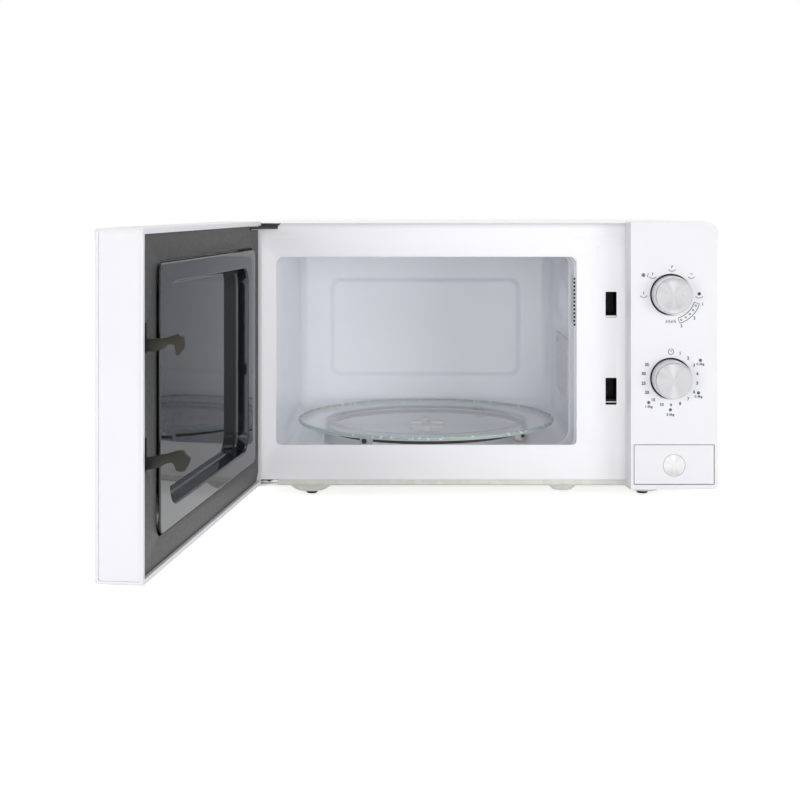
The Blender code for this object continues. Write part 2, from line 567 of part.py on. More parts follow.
# ---- control panel ----
def make_control_panel(root):
    wall = PANEL_WALL
    shell = prism("Y", rounded(PANEL_LEFT, HALF, FASCIA_BOTTOM, FASCIA_TOP,
                               (1.5 * mm, 3 * mm, PANEL_CORNER, 1.5 * mm)), -PANEL_DEPTH, -GAP)
    soften(shell, at_level("Y", -PANEL_DEPTH), 1.0 * mm)
    hollow = rounded(PANEL_LEFT + wall, HALF - wall, FASCIA_BOTTOM + wall, FASCIA_TOP - wall,
                     (0.5 * mm, 0.5 * mm, PANEL_CORNER - wall, 0.5 * mm))
    front, back = -PANEL_DEPTH - OVERCUT, -PANEL_DEPTH + wall + OVERCUT
    cut = [prism("Y", hollow, -PANEL_DEPTH + wall, OVERCUT)]
    for level in KNOB_Z.values():
        cut.append(rod("Y", (KNOB_X, level), KNOB_RADIUS + KNOB_CLEARANCE, front, back, 32))
    cut.append(block(BUTTON_LEFT - GAP, BUTTON_RIGHT + GAP, front, back,
                     BUTTON_BOTTOM - GAP, BUTTON_TOP + GAP))
    piece("control_panel", shell, "white_plastic", root, cut=cut)


def make_knob(name, level, root):
    """A dial: its white body, the metal cap on its face and the shaft that it turns."""
    face = -PANEL_DEPTH
    seat = face - KNOB_REACH + CAP_THICKNESS + GAP
    axis = (KNOB_X, level)
    pivot = (KNOB_X, face, level)
    bore = SHAFT_RADIUS + GAP
    body = [(0, seat), (KNOB_RADIUS - 0.6 * mm, seat), (KNOB_RADIUS - 0.1 * mm, seat + 0.8 * mm),
            (KNOB_RADIUS, face + 1.5 * mm), (6 * mm, face + 1.5 * mm), (6 * mm, face + 14 * mm),
            (bore, face + 14 * mm), (bore, face - 8 * mm), (0, face - 8 * mm)]
    piece(f"{name}_knob", turned("Y", axis, body), "white_plastic", root, pivot=pivot)
    cap_radius = KNOB_RADIUS - 0.7 * mm
    cap = [(0, face - KNOB_REACH), (cap_radius - 0.7 * mm, face - KNOB_REACH),
           (cap_radius, face - KNOB_REACH + 0.8 * mm), (cap_radius, seat - GAP), (0, seat - GAP)]
    piece(f"{name}_knob_cap", turned("Y", axis, cap), "brushed_metal", root, pivot=pivot)
    piece(f"{name}_shaft", rod("Y", axis, SHAFT_RADIUS, face - 8 * mm + GAP, 6 * mm, 16), "zinc_steel",
          root, pivot=pivot)


def make_dial_unit(name, level, root):
    """The timer or the selector behind the frame, with the bore that its shaft turns in."""
    half = UNIT_SIZE[name] / 2
    front = SHEET + GAP
    body = prism("Y", rounded(KNOB_X - half, KNOB_X + half, level - half, level + half, 4 * mm, 2),
                 front, front + UNIT_DEPTH[name])
    tabs = block(KNOB_X - half + 6 * mm, KNOB_X + half - 6 * mm, front + UNIT_DEPTH[name] - 14 * mm,
                 front + UNIT_DEPTH[name] - 13 * mm, level - half - 8 * mm, level + half + 8 * mm)
    bore = rod("Y", (KNOB_X, level), SHAFT_RADIUS + GAP, front - OVERCUT, front + 10 * mm, 16)
    piece(name, body, "dark_plastic", root, add=[tabs], cut=[bore])


def make_timer_bell(root):
    base = SHEET + GAP + UNIT_DEPTH["timer_unit"] + GAP
    radius = 20 * mm
    profile = [(0, base), (3 * mm, base), (3 * mm, base + 7 * mm), (radius, base + 2 * mm),
               (radius, base + 3 * mm), (radius - 6 * mm, base + 7.5 * mm), (0, base + 9 * mm)]
    piece("timer_bell", turned("Y", (KNOB_X, KNOB_Z["timer"]), profile, 16), "bell_metal", root)


def ramp_level(y):
    """Top of the button's ramp at rest, falling towards the back."""
    return ARM_Z[1] - 3.6 * mm - RAMP_SLOPE * (y - ROD_Y[0])


def make_release_button(root):
    face = -PANEL_DEPTH
    shell = block(BUTTON_LEFT, BUTTON_RIGHT, face, face + BUTTON_DEPTH, BUTTON_BOTTOM, BUTTON_TOP)
    soften(shell, at_level("Y", face), 0.8 * mm)
    wall = BUTTON_WALL
    hollow = block(BUTTON_LEFT + wall, BUTTON_RIGHT - wall, face + wall, face + BUTTON_DEPTH + OVERCUT,
                   BUTTON_BOTTOM + wall, BUTTON_TOP - wall)
    stem_x = (BUTTON_LEFT + 2 * mm, BUTTON_LEFT + 14 * mm)
    stem = block(*stem_x, face + wall / 2, ARM_Y[1] - 8 * mm, *ARM_Z)
    crown = ROD_Y[0] - BUTTON_TRAVEL - 1 * mm
    ramp = [(ARM_Y[0], ARM_Z[0]), (ARM_Y[1], ARM_Z[0]), (ARM_Y[1], ramp_level(ARM_Y[1])),
            (crown, ramp_level(crown)), (ARM_Y[0], ramp_level(crown))]
    arm = prism("X", ramp, LATCH_X - 7 * mm, stem_x[1] - 1 * mm)
    badge = rod("Y", BADGE_PLACE, BADGE_RADIUS + GAP, face - OVERCUT, face + 1.2 * mm)
    piece("release_button", shell, "white_plastic", root, cut=[hollow], then_add=[stem, arm],
          then_cut=[badge])
    piece("button_badge", rod("Y", BADGE_PLACE, BADGE_RADIUS, face + 0.2 * mm, face + 0.9 * mm),
          "brushed_metal", root)


def make_release_lever(root):
    """The upright that the button's ramp lifts, and that lifts the lower hook in turn."""
    x0, x1 = LATCH_X - 5 * mm, LATCH_X + 3.5 * mm
    lift = 0.5 * mm
    outline = [(ROD_Y[0], ramp_level(ROD_Y[0]) + lift), (ROD_Y[1], ramp_level(ROD_Y[1]) + lift),
               (ROD_Y[1], LEVER_TOP), (ROD_Y[0], LEVER_TOP)]
    lug = block(x0 - 8.5 * mm, x0 + 1 * mm, *ROD_Y, LUG_TOP - 3 * mm, LUG_TOP)
    piece("release_lever", prism("X", outline, x0, x1), "dark_plastic", root, add=[lug])
    coil_spring("lever_spring", x0 - 4.5 * mm, sum(ROD_Y) / 2, 2.8 * mm, 0.4 * mm,
                LUG_TOP + GAP, SHELF_BOTTOM - GAP, 5, root)


def make_latch_board(root):
    """The bracket behind the latch slots: catches, the lever's guide and the switches' wall."""
    front = SHEET + GAP
    wall_x = LATCH_X + 7.0 * mm
    top, bottom = HOOK_Z["upper"] + 24 * mm, ARM_Z[1] + 2 * mm
    plate = block(wall_x, wall_x + 2.5 * mm, front, 50 * mm, bottom, top)
    flange = block(wall_x + 0.5 * mm, PANEL_LEFT + 3 * mm, front, front + 2 * mm, bottom + 12 * mm, top)
    shelf = block(LATCH_X - 15 * mm, wall_x + 1 * mm, ROD_Y[0] - 5 * mm, ROD_Y[1] + 5 * mm,
                  SHELF_BOTTOM, SHELF_BOTTOM + 3 * mm)
    add = [flange, shelf]
    for under in (HOOK_UNDERSIDE["upper"], HOOK_UNDERSIDE["lower"]):
        add.append(block(LATCH_X - 5 * mm, wall_x + 1 * mm, 8 * mm, 17 * mm, under - 6 * mm, under - GAP))
    guide = block(LATCH_X - 5 * mm - GAP, LATCH_X + 3.5 * mm + GAP, ROD_Y[0] - GAP, ROD_Y[1] + GAP,
                  SHELF_BOTTOM - OVERCUT, SHELF_BOTTOM + 3 * mm + OVERCUT)
    piece("latch_board", plate, "dark_plastic", root, add=add, cut=[guide])
    places = {"upper_interlock_switch": HOOK_Z["upper"], "lower_interlock_switch": HOOK_Z["lower"],
              "monitor_switch": HOOK_Z["lower"] - SWITCH_SIZE[2] - 4 * mm}
    for name, level in places.items():
        x1, y0 = wall_x - GAP, 34 * mm
        body = block(x1 - SWITCH_SIZE[0], x1, y0, y0 + SWITCH_SIZE[1], level - SWITCH_SIZE[2] / 2,
                     level + SWITCH_SIZE[2] / 2)
        nub = block(x1 - 7 * mm, x1 - 3.5 * mm, y0 - 2 * mm, y0 + 1 * mm, level - 2 * mm, level + 2 * mm)
        piece(name, body, "dark_plastic", root, add=[nub])


# ---- power and cooling parts ----
def make_waveguide(root):
    x0, y0, z0 = LINER_RIGHT, WAVEGUIDE_SETBACK, CAVITY_FLOOR + WAVEGUIDE_RISE
    x1, y1, z1 = x0 + WAVEGUIDE[0], y0 + WAVEGUIDE[1], z0 + WAVEGUIDE[2]
    wall = 1.0 * mm
    hollow = block(x0 - OVERCUT, x1 - wall, y0 + wall, y1 - wall, z0 + wall, z1 - wall)
    hole = rod("X", ANTENNA_PLACE, ANTENNA_RADIUS + 2 * mm, x1 - 3 * wall, x1 + OVERCUT, 20)
    piece("waveguide", block(x0, x1, y0, y1, z0, z1), "zinc_steel", root, cut=[hollow, hole])
    mica = prism("X", rounded(MICA_SETBACK, MICA_SETBACK + MICA_SIZE[0], CAVITY_FLOOR + MICA_RISE,
                              CAVITY_FLOOR + MICA_RISE + MICA_SIZE[1], 3 * mm),
                 CAVITY_RIGHT - GAP - MICA_THICKNESS, CAVITY_RIGHT - GAP)
    piece("waveguide_cover", mica, "mica", root)


def make_magnetron(root):
    """Yoke with its cooling fins, antenna into the waveguide, and filter box."""
    x0 = LINER_RIGHT + WAVEGUIDE[0] + GAP
    y, z = ANTENNA_PLACE
    deep, wide, tall = MAGNETRON
    yoke = block(x0, x0 + deep, y - wide / 2, y + wide / 2, z - tall / 2, z + tall / 2)
    window = block(x0 + 2 * mm, x0 + deep - 2 * mm, y - wide, y + wide, z - tall / 2 + 2 * mm,
                   z + tall / 2 - 2 * mm)
    antenna = rod("X", (y, z), ANTENNA_RADIUS, x0 - 23 * mm, x0 + 1 * mm, 16)
    anode = rod("X", (y, z), 20 * mm, x0 + 1 * mm, x0 + deep + 1 * mm, 20)
    filter_box = block(x0 + deep - 1 * mm, x0 + deep + 32 * mm, y - 33 * mm, y + 33 * mm,
                       z - 26 * mm, z + 26 * mm)
    fins = [block(x0 + step, x0 + step + 0.8 * mm, y - wide / 2 + 4 * mm, y + wide / 2 - 4 * mm,
                  z - tall / 2 + 1 * mm, z + tall / 2 - 1 * mm)
            for step in (8 * mm, 14 * mm, 20 * mm, 26 * mm, 32 * mm)]
    piece("magnetron", yoke, "cast_aluminium", root, cut=[window],
          then_add=[antenna, anode, filter_box, *fins])


def make_transformer(root):
    x1 = INSIDE - 5 * mm
    x0, y0, z0 = x1 - TRANSFORMER[0], TRANSFORMER_SETBACK, PAN_FLOOR + GAP
    y1, z1 = y0 + TRANSFORMER[1], z0 + TRANSFORMER[2]
    foot = block(x0 - 4 * mm, x1 + 4 * mm, y0 + 4 * mm, y1 - 4 * mm, z0, z0 + 2 * mm)
    middle = (z0 + z1) / 2
    coils = [prism("Y", rounded(x0 + 14 * mm, x1 - 14 * mm, middle + low, middle + high, 6 * mm, 2),
                   y0 - 12 * mm, y1 + 12 * mm)
             for low, high in ((-24 * mm, -1 * mm), (2 * mm, 24 * mm))]
    piece("transformer", block(x0, x1, y0, y1, z0, z1), "core_steel", root, add=[foot, *coils])


def make_capacitor(root):
    x0, y0, z0 = CAVITY_RIGHT + 12 * mm, CAPACITOR_SETBACK, PAN_FLOOR + GAP
    can = prism("Y", rounded(x0, x0 + CAPACITOR[0], z0, z0 + CAPACITOR[2], 12 * mm, 3),
                y0, y0 + CAPACITOR[1])
    tabs = [block(x0 + 9 * mm + 14 * mm * n, x0 + 13 * mm + 14 * mm * n, y0 - 9 * mm, y0 + 1 * mm,
                  z0 + 22 * mm, z0 + 24 * mm) for n in (0, 1)]
    piece("capacitor", can, "can_aluminium", root, add=tabs)
    x = x0 + CAPACITOR[0] + 12 * mm
    body = rod("Y", (x, z0 + 3.5 * mm), 3.5 * mm, y0 + 10 * mm, y0 + 32 * mm, 12)
    lead = rod("Y", (x, z0 + 3.5 * mm), 0.8 * mm, y0, y0 + 44 * mm, 8)
    lug = block(x - 4 * mm, x + 4 * mm, y0 + 42 * mm, y0 + 52 * mm, z0, z0 + 4 * mm)
    piece("hv_diode", body, "dark_plastic", root, add=[lead, lug])


def make_fan(root):
    front, back = DUCT_FRONT, REAR_INNER
    wall = 2 * mm
    half = DUCT_HALF
    duct = block(FAN_X - half, FAN_X + half, front, back, FAN_Z - half, FAN_Z + half)
    inside = block(FAN_X - half + wall, FAN_X + half - wall, front + wall, back + OVERCUT,
                   FAN_Z - half + wall, FAN_Z + half - wall)
    mouth = rod("Y", (FAN_X, FAN_Z), FAN_RADIUS + 3 * mm, front - OVERCUT, front + 2 * wall, 32)
    piece("fan_duct", duct, "dark_plastic", root, cut=[inside, mouth])

    strap_y = front - 12 * mm
    core = block(FAN_X - 30 * mm, FAN_X + 30 * mm, strap_y - 18 * mm, strap_y + 1 * mm,
                 FAN_Z - 24 * mm, FAN_Z + 24 * mm)
    foot_reach = FAN_RADIUS + 7 * mm
    strap = block(FAN_X - 6 * mm, FAN_X + 6 * mm, strap_y, strap_y + 2 * mm,
                  FAN_Z - foot_reach, FAN_Z + foot_reach)
    feet = [block(FAN_X - 6 * mm, FAN_X + 6 * mm, strap_y + 0.5 * mm, front - GAP,
                  min(FAN_Z + s * foot_reach, FAN_Z + s * (foot_reach - 3 * mm)),
                  max(FAN_Z + s * foot_reach, FAN_Z + s * (foot_reach - 3 * mm))) for s in (-1, 1)]
    coil = prism("X", rounded(strap_y - 26 * mm, strap_y - 2 * mm, FAN_Z - 22 * mm, FAN_Z - 10 * mm,
                              3 * mm, 2), FAN_X - 16 * mm, FAN_X + 16 * mm)
    nose = rod("Y", (FAN_X, FAN_Z), 8 * mm, strap_y - 24 * mm, strap_y + 5 * mm, 16)
    bore = rod("Y", (FAN_X, FAN_Z), 2.8 * mm, strap_y - 14 * mm, strap_y + 8 * mm, 12)
    piece("fan_motor", core, "core_steel", root, add=[strap, *feet, coil, nose], cut=[bore])

    hub_front = front + 6 * mm
    hub = rod("Y", (FAN_X, FAN_Z), 10 * mm, hub_front, hub_front + 18 * mm, 20)
    shaft = rod("Y", (FAN_X, FAN_Z), 2.5 * mm, strap_y - 12 * mm, hub_front + 1 * mm, 12)
    blades = []
    middle = Vector((FAN_X, hub_front + 9 * mm, FAN_Z))
    for number in range(FAN_BLADES):
        blade = block(8 * mm, FAN_RADIUS, -0.8 * mm, 0.8 * mm, -12 * mm, 12 * mm)
        pitch = Matrix.Rotation(math.radians(55), 4, "X")
        turn = Matrix.Rotation(2 * math.pi * number / FAN_BLADES, 4, "Y")
        blades.append(spun(blade, Matrix.Translation(middle) @ turn @ pitch))
    piece("fan_blade", hub, "dark_plastic", root, add=[shaft, *blades], pivot=middle)


def make_lamp(root):
    x, y, z = LINER_RIGHT, 62 * mm, CAVITY_FLOOR + 108 * mm
    socket = block(x, x + 24 * mm, y - 12 * mm, y + 12 * mm, z, z + 14 * mm)
    bracket = block(x, x + 1 * mm, y - 16 * mm, y + 16 * mm, z - 6 * mm, z + 20 * mm)
    piece("lamp_socket", socket, "ceramic", root, add=[bracket])
    base = z + 14 * mm + GAP
    profile = [(0, base), (7 * mm, base), (7 * mm, base + 8 * mm), (10 * mm, base + 16 * mm),
               (10 * mm, base + 28 * mm), (6 * mm, base + 35 * mm), (0, base + 37 * mm)]
    piece("cavity_lamp", turned("Z", (x + 13 * mm, y), profile, 16), "lamp_glass", root)


def make_thermal_cutout(root):
    x, y, z = CAVITY_RIGHT - 35 * mm, 150 * mm, CAVITY_TOP + SHEET + GAP
    tabs = [block(x - 12 * mm, x - 6 * mm, y - 3 * mm, y + 3 * mm, z + 6 * mm, z + 7 * mm),
            block(x + 6 * mm, x + 12 * mm, y - 3 * mm, y + 3 * mm, z + 6 * mm, z + 7 * mm)]
    piece("thermal_cutout", rod("Z", (x, y), 8 * mm, z, z + 9 * mm, 16), "dark_plastic", root, add=tabs)


def make_filter_board(root):
    back = REAR_INNER
    z0 = FAN_Z + DUCT_HALF + 5 * mm
    x0, x1 = FAN_X - 42 * mm, FAN_X + 38 * mm
    board = block(x0, x1, back - 1.6 * mm, back, z0, z0 + 40 * mm)
    front = back - 2.0 * mm
    parts = [rod("Y", (x0 + 18 * mm, z0 + 20 * mm), 12 * mm, back - 16 * mm, back - 1 * mm, 16),
             block(x0 + 36 * mm, x0 + 58 * mm, back - 14 * mm, back - 1 * mm, z0 + 6 * mm, z0 + 20 * mm),
             rod("X", (front - 4 * mm, z0 + 31 * mm), 3.4 * mm, x0 + 36 * mm, x0 + 66 * mm, 12),
             block(x0 + 35 * mm, x0 + 38 * mm, front - 6 * mm, back - 1 * mm, z0 + 28 * mm, z0 + 34 * mm),
             block(x0 + 64 * mm, x0 + 67 * mm, front - 6 * mm, back - 1 * mm, z0 + 28 * mm, z0 + 34 * mm)]
    piece("noise_filter_board", board, "circuit_board", root, add=parts)


def make_grill(root):
    """Quartz heater under its reflector, on top of the cavity."""
    x0, x1 = TURN_X - REFLECTOR[0] / 2, TURN_X + REFLECTOR[0] / 2
    y0, y1 = TURN_Y - REFLECTOR[1] / 2, TURN_Y + REFLECTOR[1] / 2
    z0 = CAVITY_TOP + SHEET + GAP
    z1 = z0 + REFLECTOR[2]
    level = z0 + REFLECTOR[2] / 2
    hollow = block(x0 + SHEET, x1 - SHEET, y0 + SHEET, y1 - SHEET, z0 - OVERCUT, z1 - SHEET)
    hole = rod("X", (TURN_Y, level), HEATER_RADIUS + GAP, x0 - OVERCUT, x1 + OVERCUT, 20)
    piece("grill_reflector", block(x0, x1, y0, y1, z0, z1), "zinc_steel", root, cut=[hollow, hole])
    ends = [rod("X", (TURN_Y, level), HEATER_RADIUS + 1.8 * mm, a, b, 16)
            for a, b in ((x0 - 10 * mm, x0 - GAP), (x1 + GAP, x1 + 10 * mm))]
    piece("grill_heater", rod("X", (TURN_Y, level), HEATER_RADIUS, x0 - 9 * mm, x1 + 9 * mm, 16),
          "quartz", root, add=ends)


# ---- turntable ----
def make_turntable(root):
    axis = (TURN_X, TURN_Y)
    pivot = (TURN_X, TURN_Y, CAVITY_FLOOR)
    motor_top = CAVITY_FLOOR - SHEET - GAP
    motor = rod("Z", axis, TURNTABLE_MOTOR_RADIUS, motor_top - TURNTABLE_MOTOR_HEIGHT, motor_top)
    ears = block(TURN_X - 34 * mm, TURN_X + 34 * mm, TURN_Y - 6 * mm, TURN_Y + 6 * mm,
                 motor_top - 1.5 * mm, motor_top)
    socket = rod("Z", axis, COUPLER_STEM_RADIUS + GAP, motor_top - 9 * mm, motor_top + OVERCUT, 16)
    piece("turntable_motor", motor, "zinc_steel", root, add=[ears], cut=[socket])

    top = PLATE_BOTTOM - GAP
    stem = [(0, motor_top - 8 * mm), (COUPLER_STEM_RADIUS, motor_top - 8 * mm),
            (COUPLER_STEM_RADIUS, CAVITY_FLOOR + 2 * mm), (10 * mm, CAVITY_FLOOR + 2 * mm),
            (10 * mm, top), (0, top)]
    lobes = []
    for number in range(3):
        lobe = prism("Z", rounded(0, COUPLER_RADIUS, -6 * mm, 6 * mm, (0, 5 * mm, 5 * mm, 0), 2),
                     top - 5 * mm, top)
        turn = Matrix.Rotation(math.radians(90 + 120 * number), 4, "Z")
        lobes.append(spun(lobe, Matrix.Translation((*axis, 0)) @ turn))
    piece("turntable_coupler", turned("Z", axis, stem, 20), "roller_plastic", root, add=lobes, pivot=pivot)

    bottom, flat, edge = PLATE_BOTTOM, PLATE_FLAT_RADIUS, PLATE_RADIUS
    top = bottom + PLATE_THICKNESS
    rim = bottom + PLATE_RIM
    plate = [(0, top), (flat - 1 * mm, top), (flat + 1 * mm, top + 0.7 * mm),
             (ROLLER_CIRCLE - 4.5 * mm, PLATE_SEAT + 2.2 * mm), (edge - 1.5 * mm, rim),
             (edge, rim - 0.5 * mm), (edge, rim - 2.4 * mm), (ROLLER_CIRCLE + 5 * mm, PLATE_SEAT),
             (ROLLER_CIRCLE - 4.5 * mm, PLATE_SEAT), (flat + 1 * mm, bottom), (0, bottom)]
    piece("glass_plate", turned("Z", axis, plate, 40), "plate_glass", root, pivot=pivot)

    band = ROLLER_CIRCLE - ROLLER_WIDTH / 2 - 2 * mm
    low, high = ROLLER_Z - RING_HEIGHT / 2, ROLLER_Z + RING_HEIGHT / 2
    ring = [(band, low), (band, high), (band - RING_WALL, high), (band - RING_WALL, low)]
    axles, places = [], []
    for number in range(ROLLER_COUNT):
        turn = Matrix.Rotation(math.radians(FIRST_ROLLER_DEG + 360 * number / ROLLER_COUNT), 4, "Z")
        place = Matrix.Translation((*axis, ROLLER_Z)) @ turn
        places.append(place)
        outer = ROLLER_CIRCLE + ROLLER_WIDTH / 2
        profile = [(0, band - 2 * mm), (AXLE_RADIUS, band - 2 * mm), (AXLE_RADIUS, outer + GAP),
                   (AXLE_RADIUS + 1 * mm, outer + GAP), (AXLE_RADIUS + 1 * mm, outer + 2 * mm),
                   (0, outer + 2 * mm)]
        axles.append(spun(turned("X", (0, 0), profile, 10), place))
    piece("roller_ring", turned("Z", axis, ring, 40), "ring_plastic", root, add=axles, pivot=pivot)
    for number, place in enumerate(places):
        low, high = ROLLER_CIRCLE - ROLLER_WIDTH / 2, ROLLER_CIRCLE + ROLLER_WIDTH / 2
        bore = AXLE_RADIUS + GAP
        wheel = [(bore, low), (bore, high), (ROLLER_RADIUS - 0.8 * mm, high),
                 (ROLLER_RADIUS, high - 1 * mm), (ROLLER_RADIUS, low + 1 * mm),
                 (ROLLER_RADIUS - 0.8 * mm, low)]
        piece(f"roller_{number + 1}", spun(turned("X", (0, 0), wheel, 16), place), "roller_plastic",
              root, pivot=place @ Vector((ROLLER_CIRCLE, 0, 0)))


# ---- door, written closed ----
def upper_bracket_top():
    """Top of the upper hinge's plate, seated under the frame's top flange."""
    return FRAME_TOP - 2 * SHEET - 2 * GAP - HINGE_CLEAR


def make_door_frame(door):
    low, high = FASCIA_BOTTOM, FASCIA_TOP
    wall = DOOR_WALL
    shell = prism("Y", rounded(DOOR_LEFT, DOOR_RIGHT, low, high, 3 * mm), DOOR_OUT, DOOR_IN)
    soften(shell, at_level("Y", DOOR_OUT), 1.5 * mm)
    hollow = block(DOOR_LEFT + wall, DOOR_RIGHT - wall, DOOR_OUT + DOOR_FACE, DOOR_IN + OVERCUT,
                   low + wall, high - wall)
    margin = WINDOW_MARGIN
    window = prism("Y", rounded(OPEN_LEFT + margin, OPEN_RIGHT - margin, OPEN_BOTTOM + margin,
                                OPEN_TOP - margin, 8 * mm), DOOR_OUT - OVERCUT,
                   DOOR_OUT + DOOR_FACE + OVERCUT)
    pocket = block(DOOR_RIGHT - 1.2 * mm, DOOR_RIGHT + OVERCUT, DOOR_OUT + 3 * mm, DOOR_IN - 1.5 * mm,
                   low + 3 * mm, high - 3 * mm)
    edge = 3.2 * mm
    chamfer = prism("Z", [(DOOR_LEFT - OVERCUT, DOOR_IN - edge - OVERCUT), (DOOR_LEFT + edge + OVERCUT,
                          DOOR_IN + OVERCUT), (DOOR_LEFT - OVERCUT, DOOR_IN + OVERCUT)],
                    low - OVERCUT, high + OVERCUT)
    arm_top = upper_bracket_top()
    arm_slot = block(DOOR_LEFT - OVERCUT, DOOR_LEFT + wall + OVERCUT, HINGE.y - 8 * mm, DOOR_IN + OVERCUT,
                     arm_top - HINGE_PLATE - GAP * 2, high - wall - 0.01 * mm)
    low_boss = (low + wall / 2, low + wall + PIN_LENGTH - 2 * mm)
    high_boss = (arm_top - HINGE_PLATE - PIN_LENGTH - 6 * mm, arm_top - HINGE_PLATE - 6 * mm)
    bosses = [block(DOOR_LEFT + 0.5 * mm, DOOR_LEFT + 10 * mm, HINGE.y - 5 * mm, HINGE.y + 5 * mm, *span)
              for span in (low_boss, high_boss)]
    bores = [rod("Z", (HINGE.x, HINGE.y), PIN_RADIUS + PIN_CLEARANCE, *span, 16)
             for span in ((low - OVERCUT, low_boss[1] - 2 * mm), (high_boss[0] - OVERCUT, arm_top))]
    stop = block(LATCH_X - 6 * mm, DOOR_RIGHT - wall / 2, CHOKE_BACK - 12 * mm, CHOKE_BACK - GAP,
                 LATCH_STOP, LATCH_STOP + 3 * mm)
    piece("door_frame", shell, "white_plastic", door, cut=[hollow], then_add=[*bosses, stop],
          then_cut=[arm_slot, chamfer, pocket, window, *bores])


def make_door_glass(door):
    back = DOOR_OUT + DOOR_FACE + GAP
    reach = 10 * mm
    outline = rounded(OPEN_LEFT - reach, OPEN_RIGHT + reach, OPEN_BOTTOM - reach, OPEN_TOP + reach, 6 * mm)
    piece("door_glass", prism("Y", outline, back, back + DOOR_GLASS_THICKNESS), "smoked_glass", door)


def make_door_screen(door):
    """The steel panel that holds the microwaves in: screen and choke walls in one pressing."""
    left, right = DOOR_LEFT + 10.5 * mm, LATCH_X - 9 * mm
    low, high = FASCIA_BOTTOM + DOOR_WALL + 4 * mm, upper_bracket_top() - HINGE_PLATE - 4 * mm
    floor = RECESS_FLOOR - INNER_PANEL_THICKNESS - GAP - SHEET
    outer = rounded(left, right, low, high, 6 * mm)
    inner = rounded(left + SHEET, right - SHEET, low + SHEET, high - SHEET, 5.2 * mm)
    piece("door_screen", prism("Y", outer, floor, CHOKE_BACK - GAP), "zinc_steel", door,
          cut=[prism("Y", inner, floor + SHEET, CHOKE_BACK + OVERCUT)])


def inner_panel_edges(grow):
    left, right, low, top = INNER_PANEL_LIP
    return (OPEN_LEFT - left - grow, OPEN_RIGHT + right + grow, OPEN_BOTTOM - low - grow,
            OPEN_TOP + top + grow)


def make_inner_panel(door):
    edges = inner_panel_edges(0)
    flange = prism("Y", rounded(*edges, 7 * mm), DOOR_IN - 1.5 * mm, DOOR_IN)
    soften(flange, at_level("Y", DOOR_IN), 0.6 * mm, 1)
    left, right, low, top = INNER_RECESS_MARGIN
    box = (edges[0] + left, edges[1] - right, edges[2] + low, edges[3] - top)
    wall = INNER_PANEL_THICKNESS
    grown = (box[0] - wall, box[1] + wall, box[2] - wall, box[3] + wall)
    tub = prism("Y", rounded(*grown, 16 * mm + wall, 4), RECESS_FLOOR - wall, DOOR_IN - 0.7 * mm)
    hollow = prism("Y", rounded(*box, 16 * mm, 4), RECESS_FLOOR, DOOR_IN + OVERCUT)
    piece("door_inner_panel", flange, "gloss_dark", door, add=[tub], cut=[hollow])


def make_choke_cover(door):
    left, right = DOOR_LEFT + DOOR_WALL + GAP, DOOR_RIGHT - DOOR_WALL - GAP
    low, top = FASCIA_BOTTOM + DOOR_WALL + GAP, FASCIA_TOP - DOOR_WALL - GAP
    chamfer = 8 * mm
    outline = [(left + chamfer, low), (right, low), (right, top), (left, top), (left, low + chamfer)]
    front, back = CHOKE_BACK - OVERCUT, CHOKE_FACE + OVERCUT
    opening = prism("Y", rounded(*inner_panel_edges(INNER_PANEL_GROOVE), 9 * mm), front, back)
    notch = block(left - OVERCUT, DOOR_LEFT + HINGE_ROOT[1] + 6 * mm, front, back,
                  upper_bracket_top() - HINGE_PLATE - 2 * mm, top + OVERCUT)
    slots = [block(LATCH_X - 4.5 * mm, LATCH_X + 4.5 * mm, front, back, HOOK_Z[which] - below,
                   HOOK_Z[which] + above)
             for which, below, above in (("upper", 6.4 * mm, 15 * mm), ("lower", 5.6 * mm, 17.3 * mm))]
    piece("choke_cover", prism("Y", outline, CHOKE_BACK, CHOKE_FACE), "choke_plastic", door,
          cut=[opening, notch, *slots])


def hook_outline(which):
    """Side view of a hook: an arm rising from the choke cover to a head that points down."""
    level = HOOK_Z[which]
    if which == "upper":
        shape = [(0.0, 3.6), (23.0, 8.0), (27.0, 5.5), (28.0, 0.0), (25.5, -5.5), (22.5, -7.5),
                 (20.5, -6.0), (19.5, 0.0), (0.0, -4.3)]
    else:
        shape = [(0.0, 3.0), (25.0, 9.0), (29.0, 7.0), (31.5, 3.0), (30.5, -1.5), (27.0, -5.6),
                 (22.5, -5.6), (20.0, -3.0), (19.5, 0.5), (0.0, -3.7)]
    root = CHOKE_BACK - LATCH_BAR_DEPTH
    points = [(root, level + shape[0][1] * mm)]
    points += [(DOOR_IN + reach * mm, level + rise * mm) for reach, rise in shape]
    points.append((root, level + shape[-1][1] * mm))
    return points


def make_latch_hooks(door):
    bar_y = (CHOKE_BACK - GAP - LATCH_BAR_DEPTH, CHOKE_BACK - GAP)
    bar = block(LATCH_X - LATCH_BAR_WIDTH / 2, LATCH_X + LATCH_BAR_WIDTH / 2, *bar_y,
                HOOK_Z["lower"] - 8 * mm, LATCH_BAR_TOP)
    x0 = LATCH_X - 2.5 * mm
    hooks = [prism("X", hook_outline(which), x0, x0 + HOOK_THICKNESS) for which in ("upper", "lower")]
    piece("latch_hooks", bar, "dark_plastic", door, add=hooks)
    coil_spring("latch_spring", LATCH_X, sum(bar_y) / 2, 2.1 * mm, 0.35 * mm, LATCH_BAR_TOP + GAP,
                LATCH_STOP - GAP, 6, door)


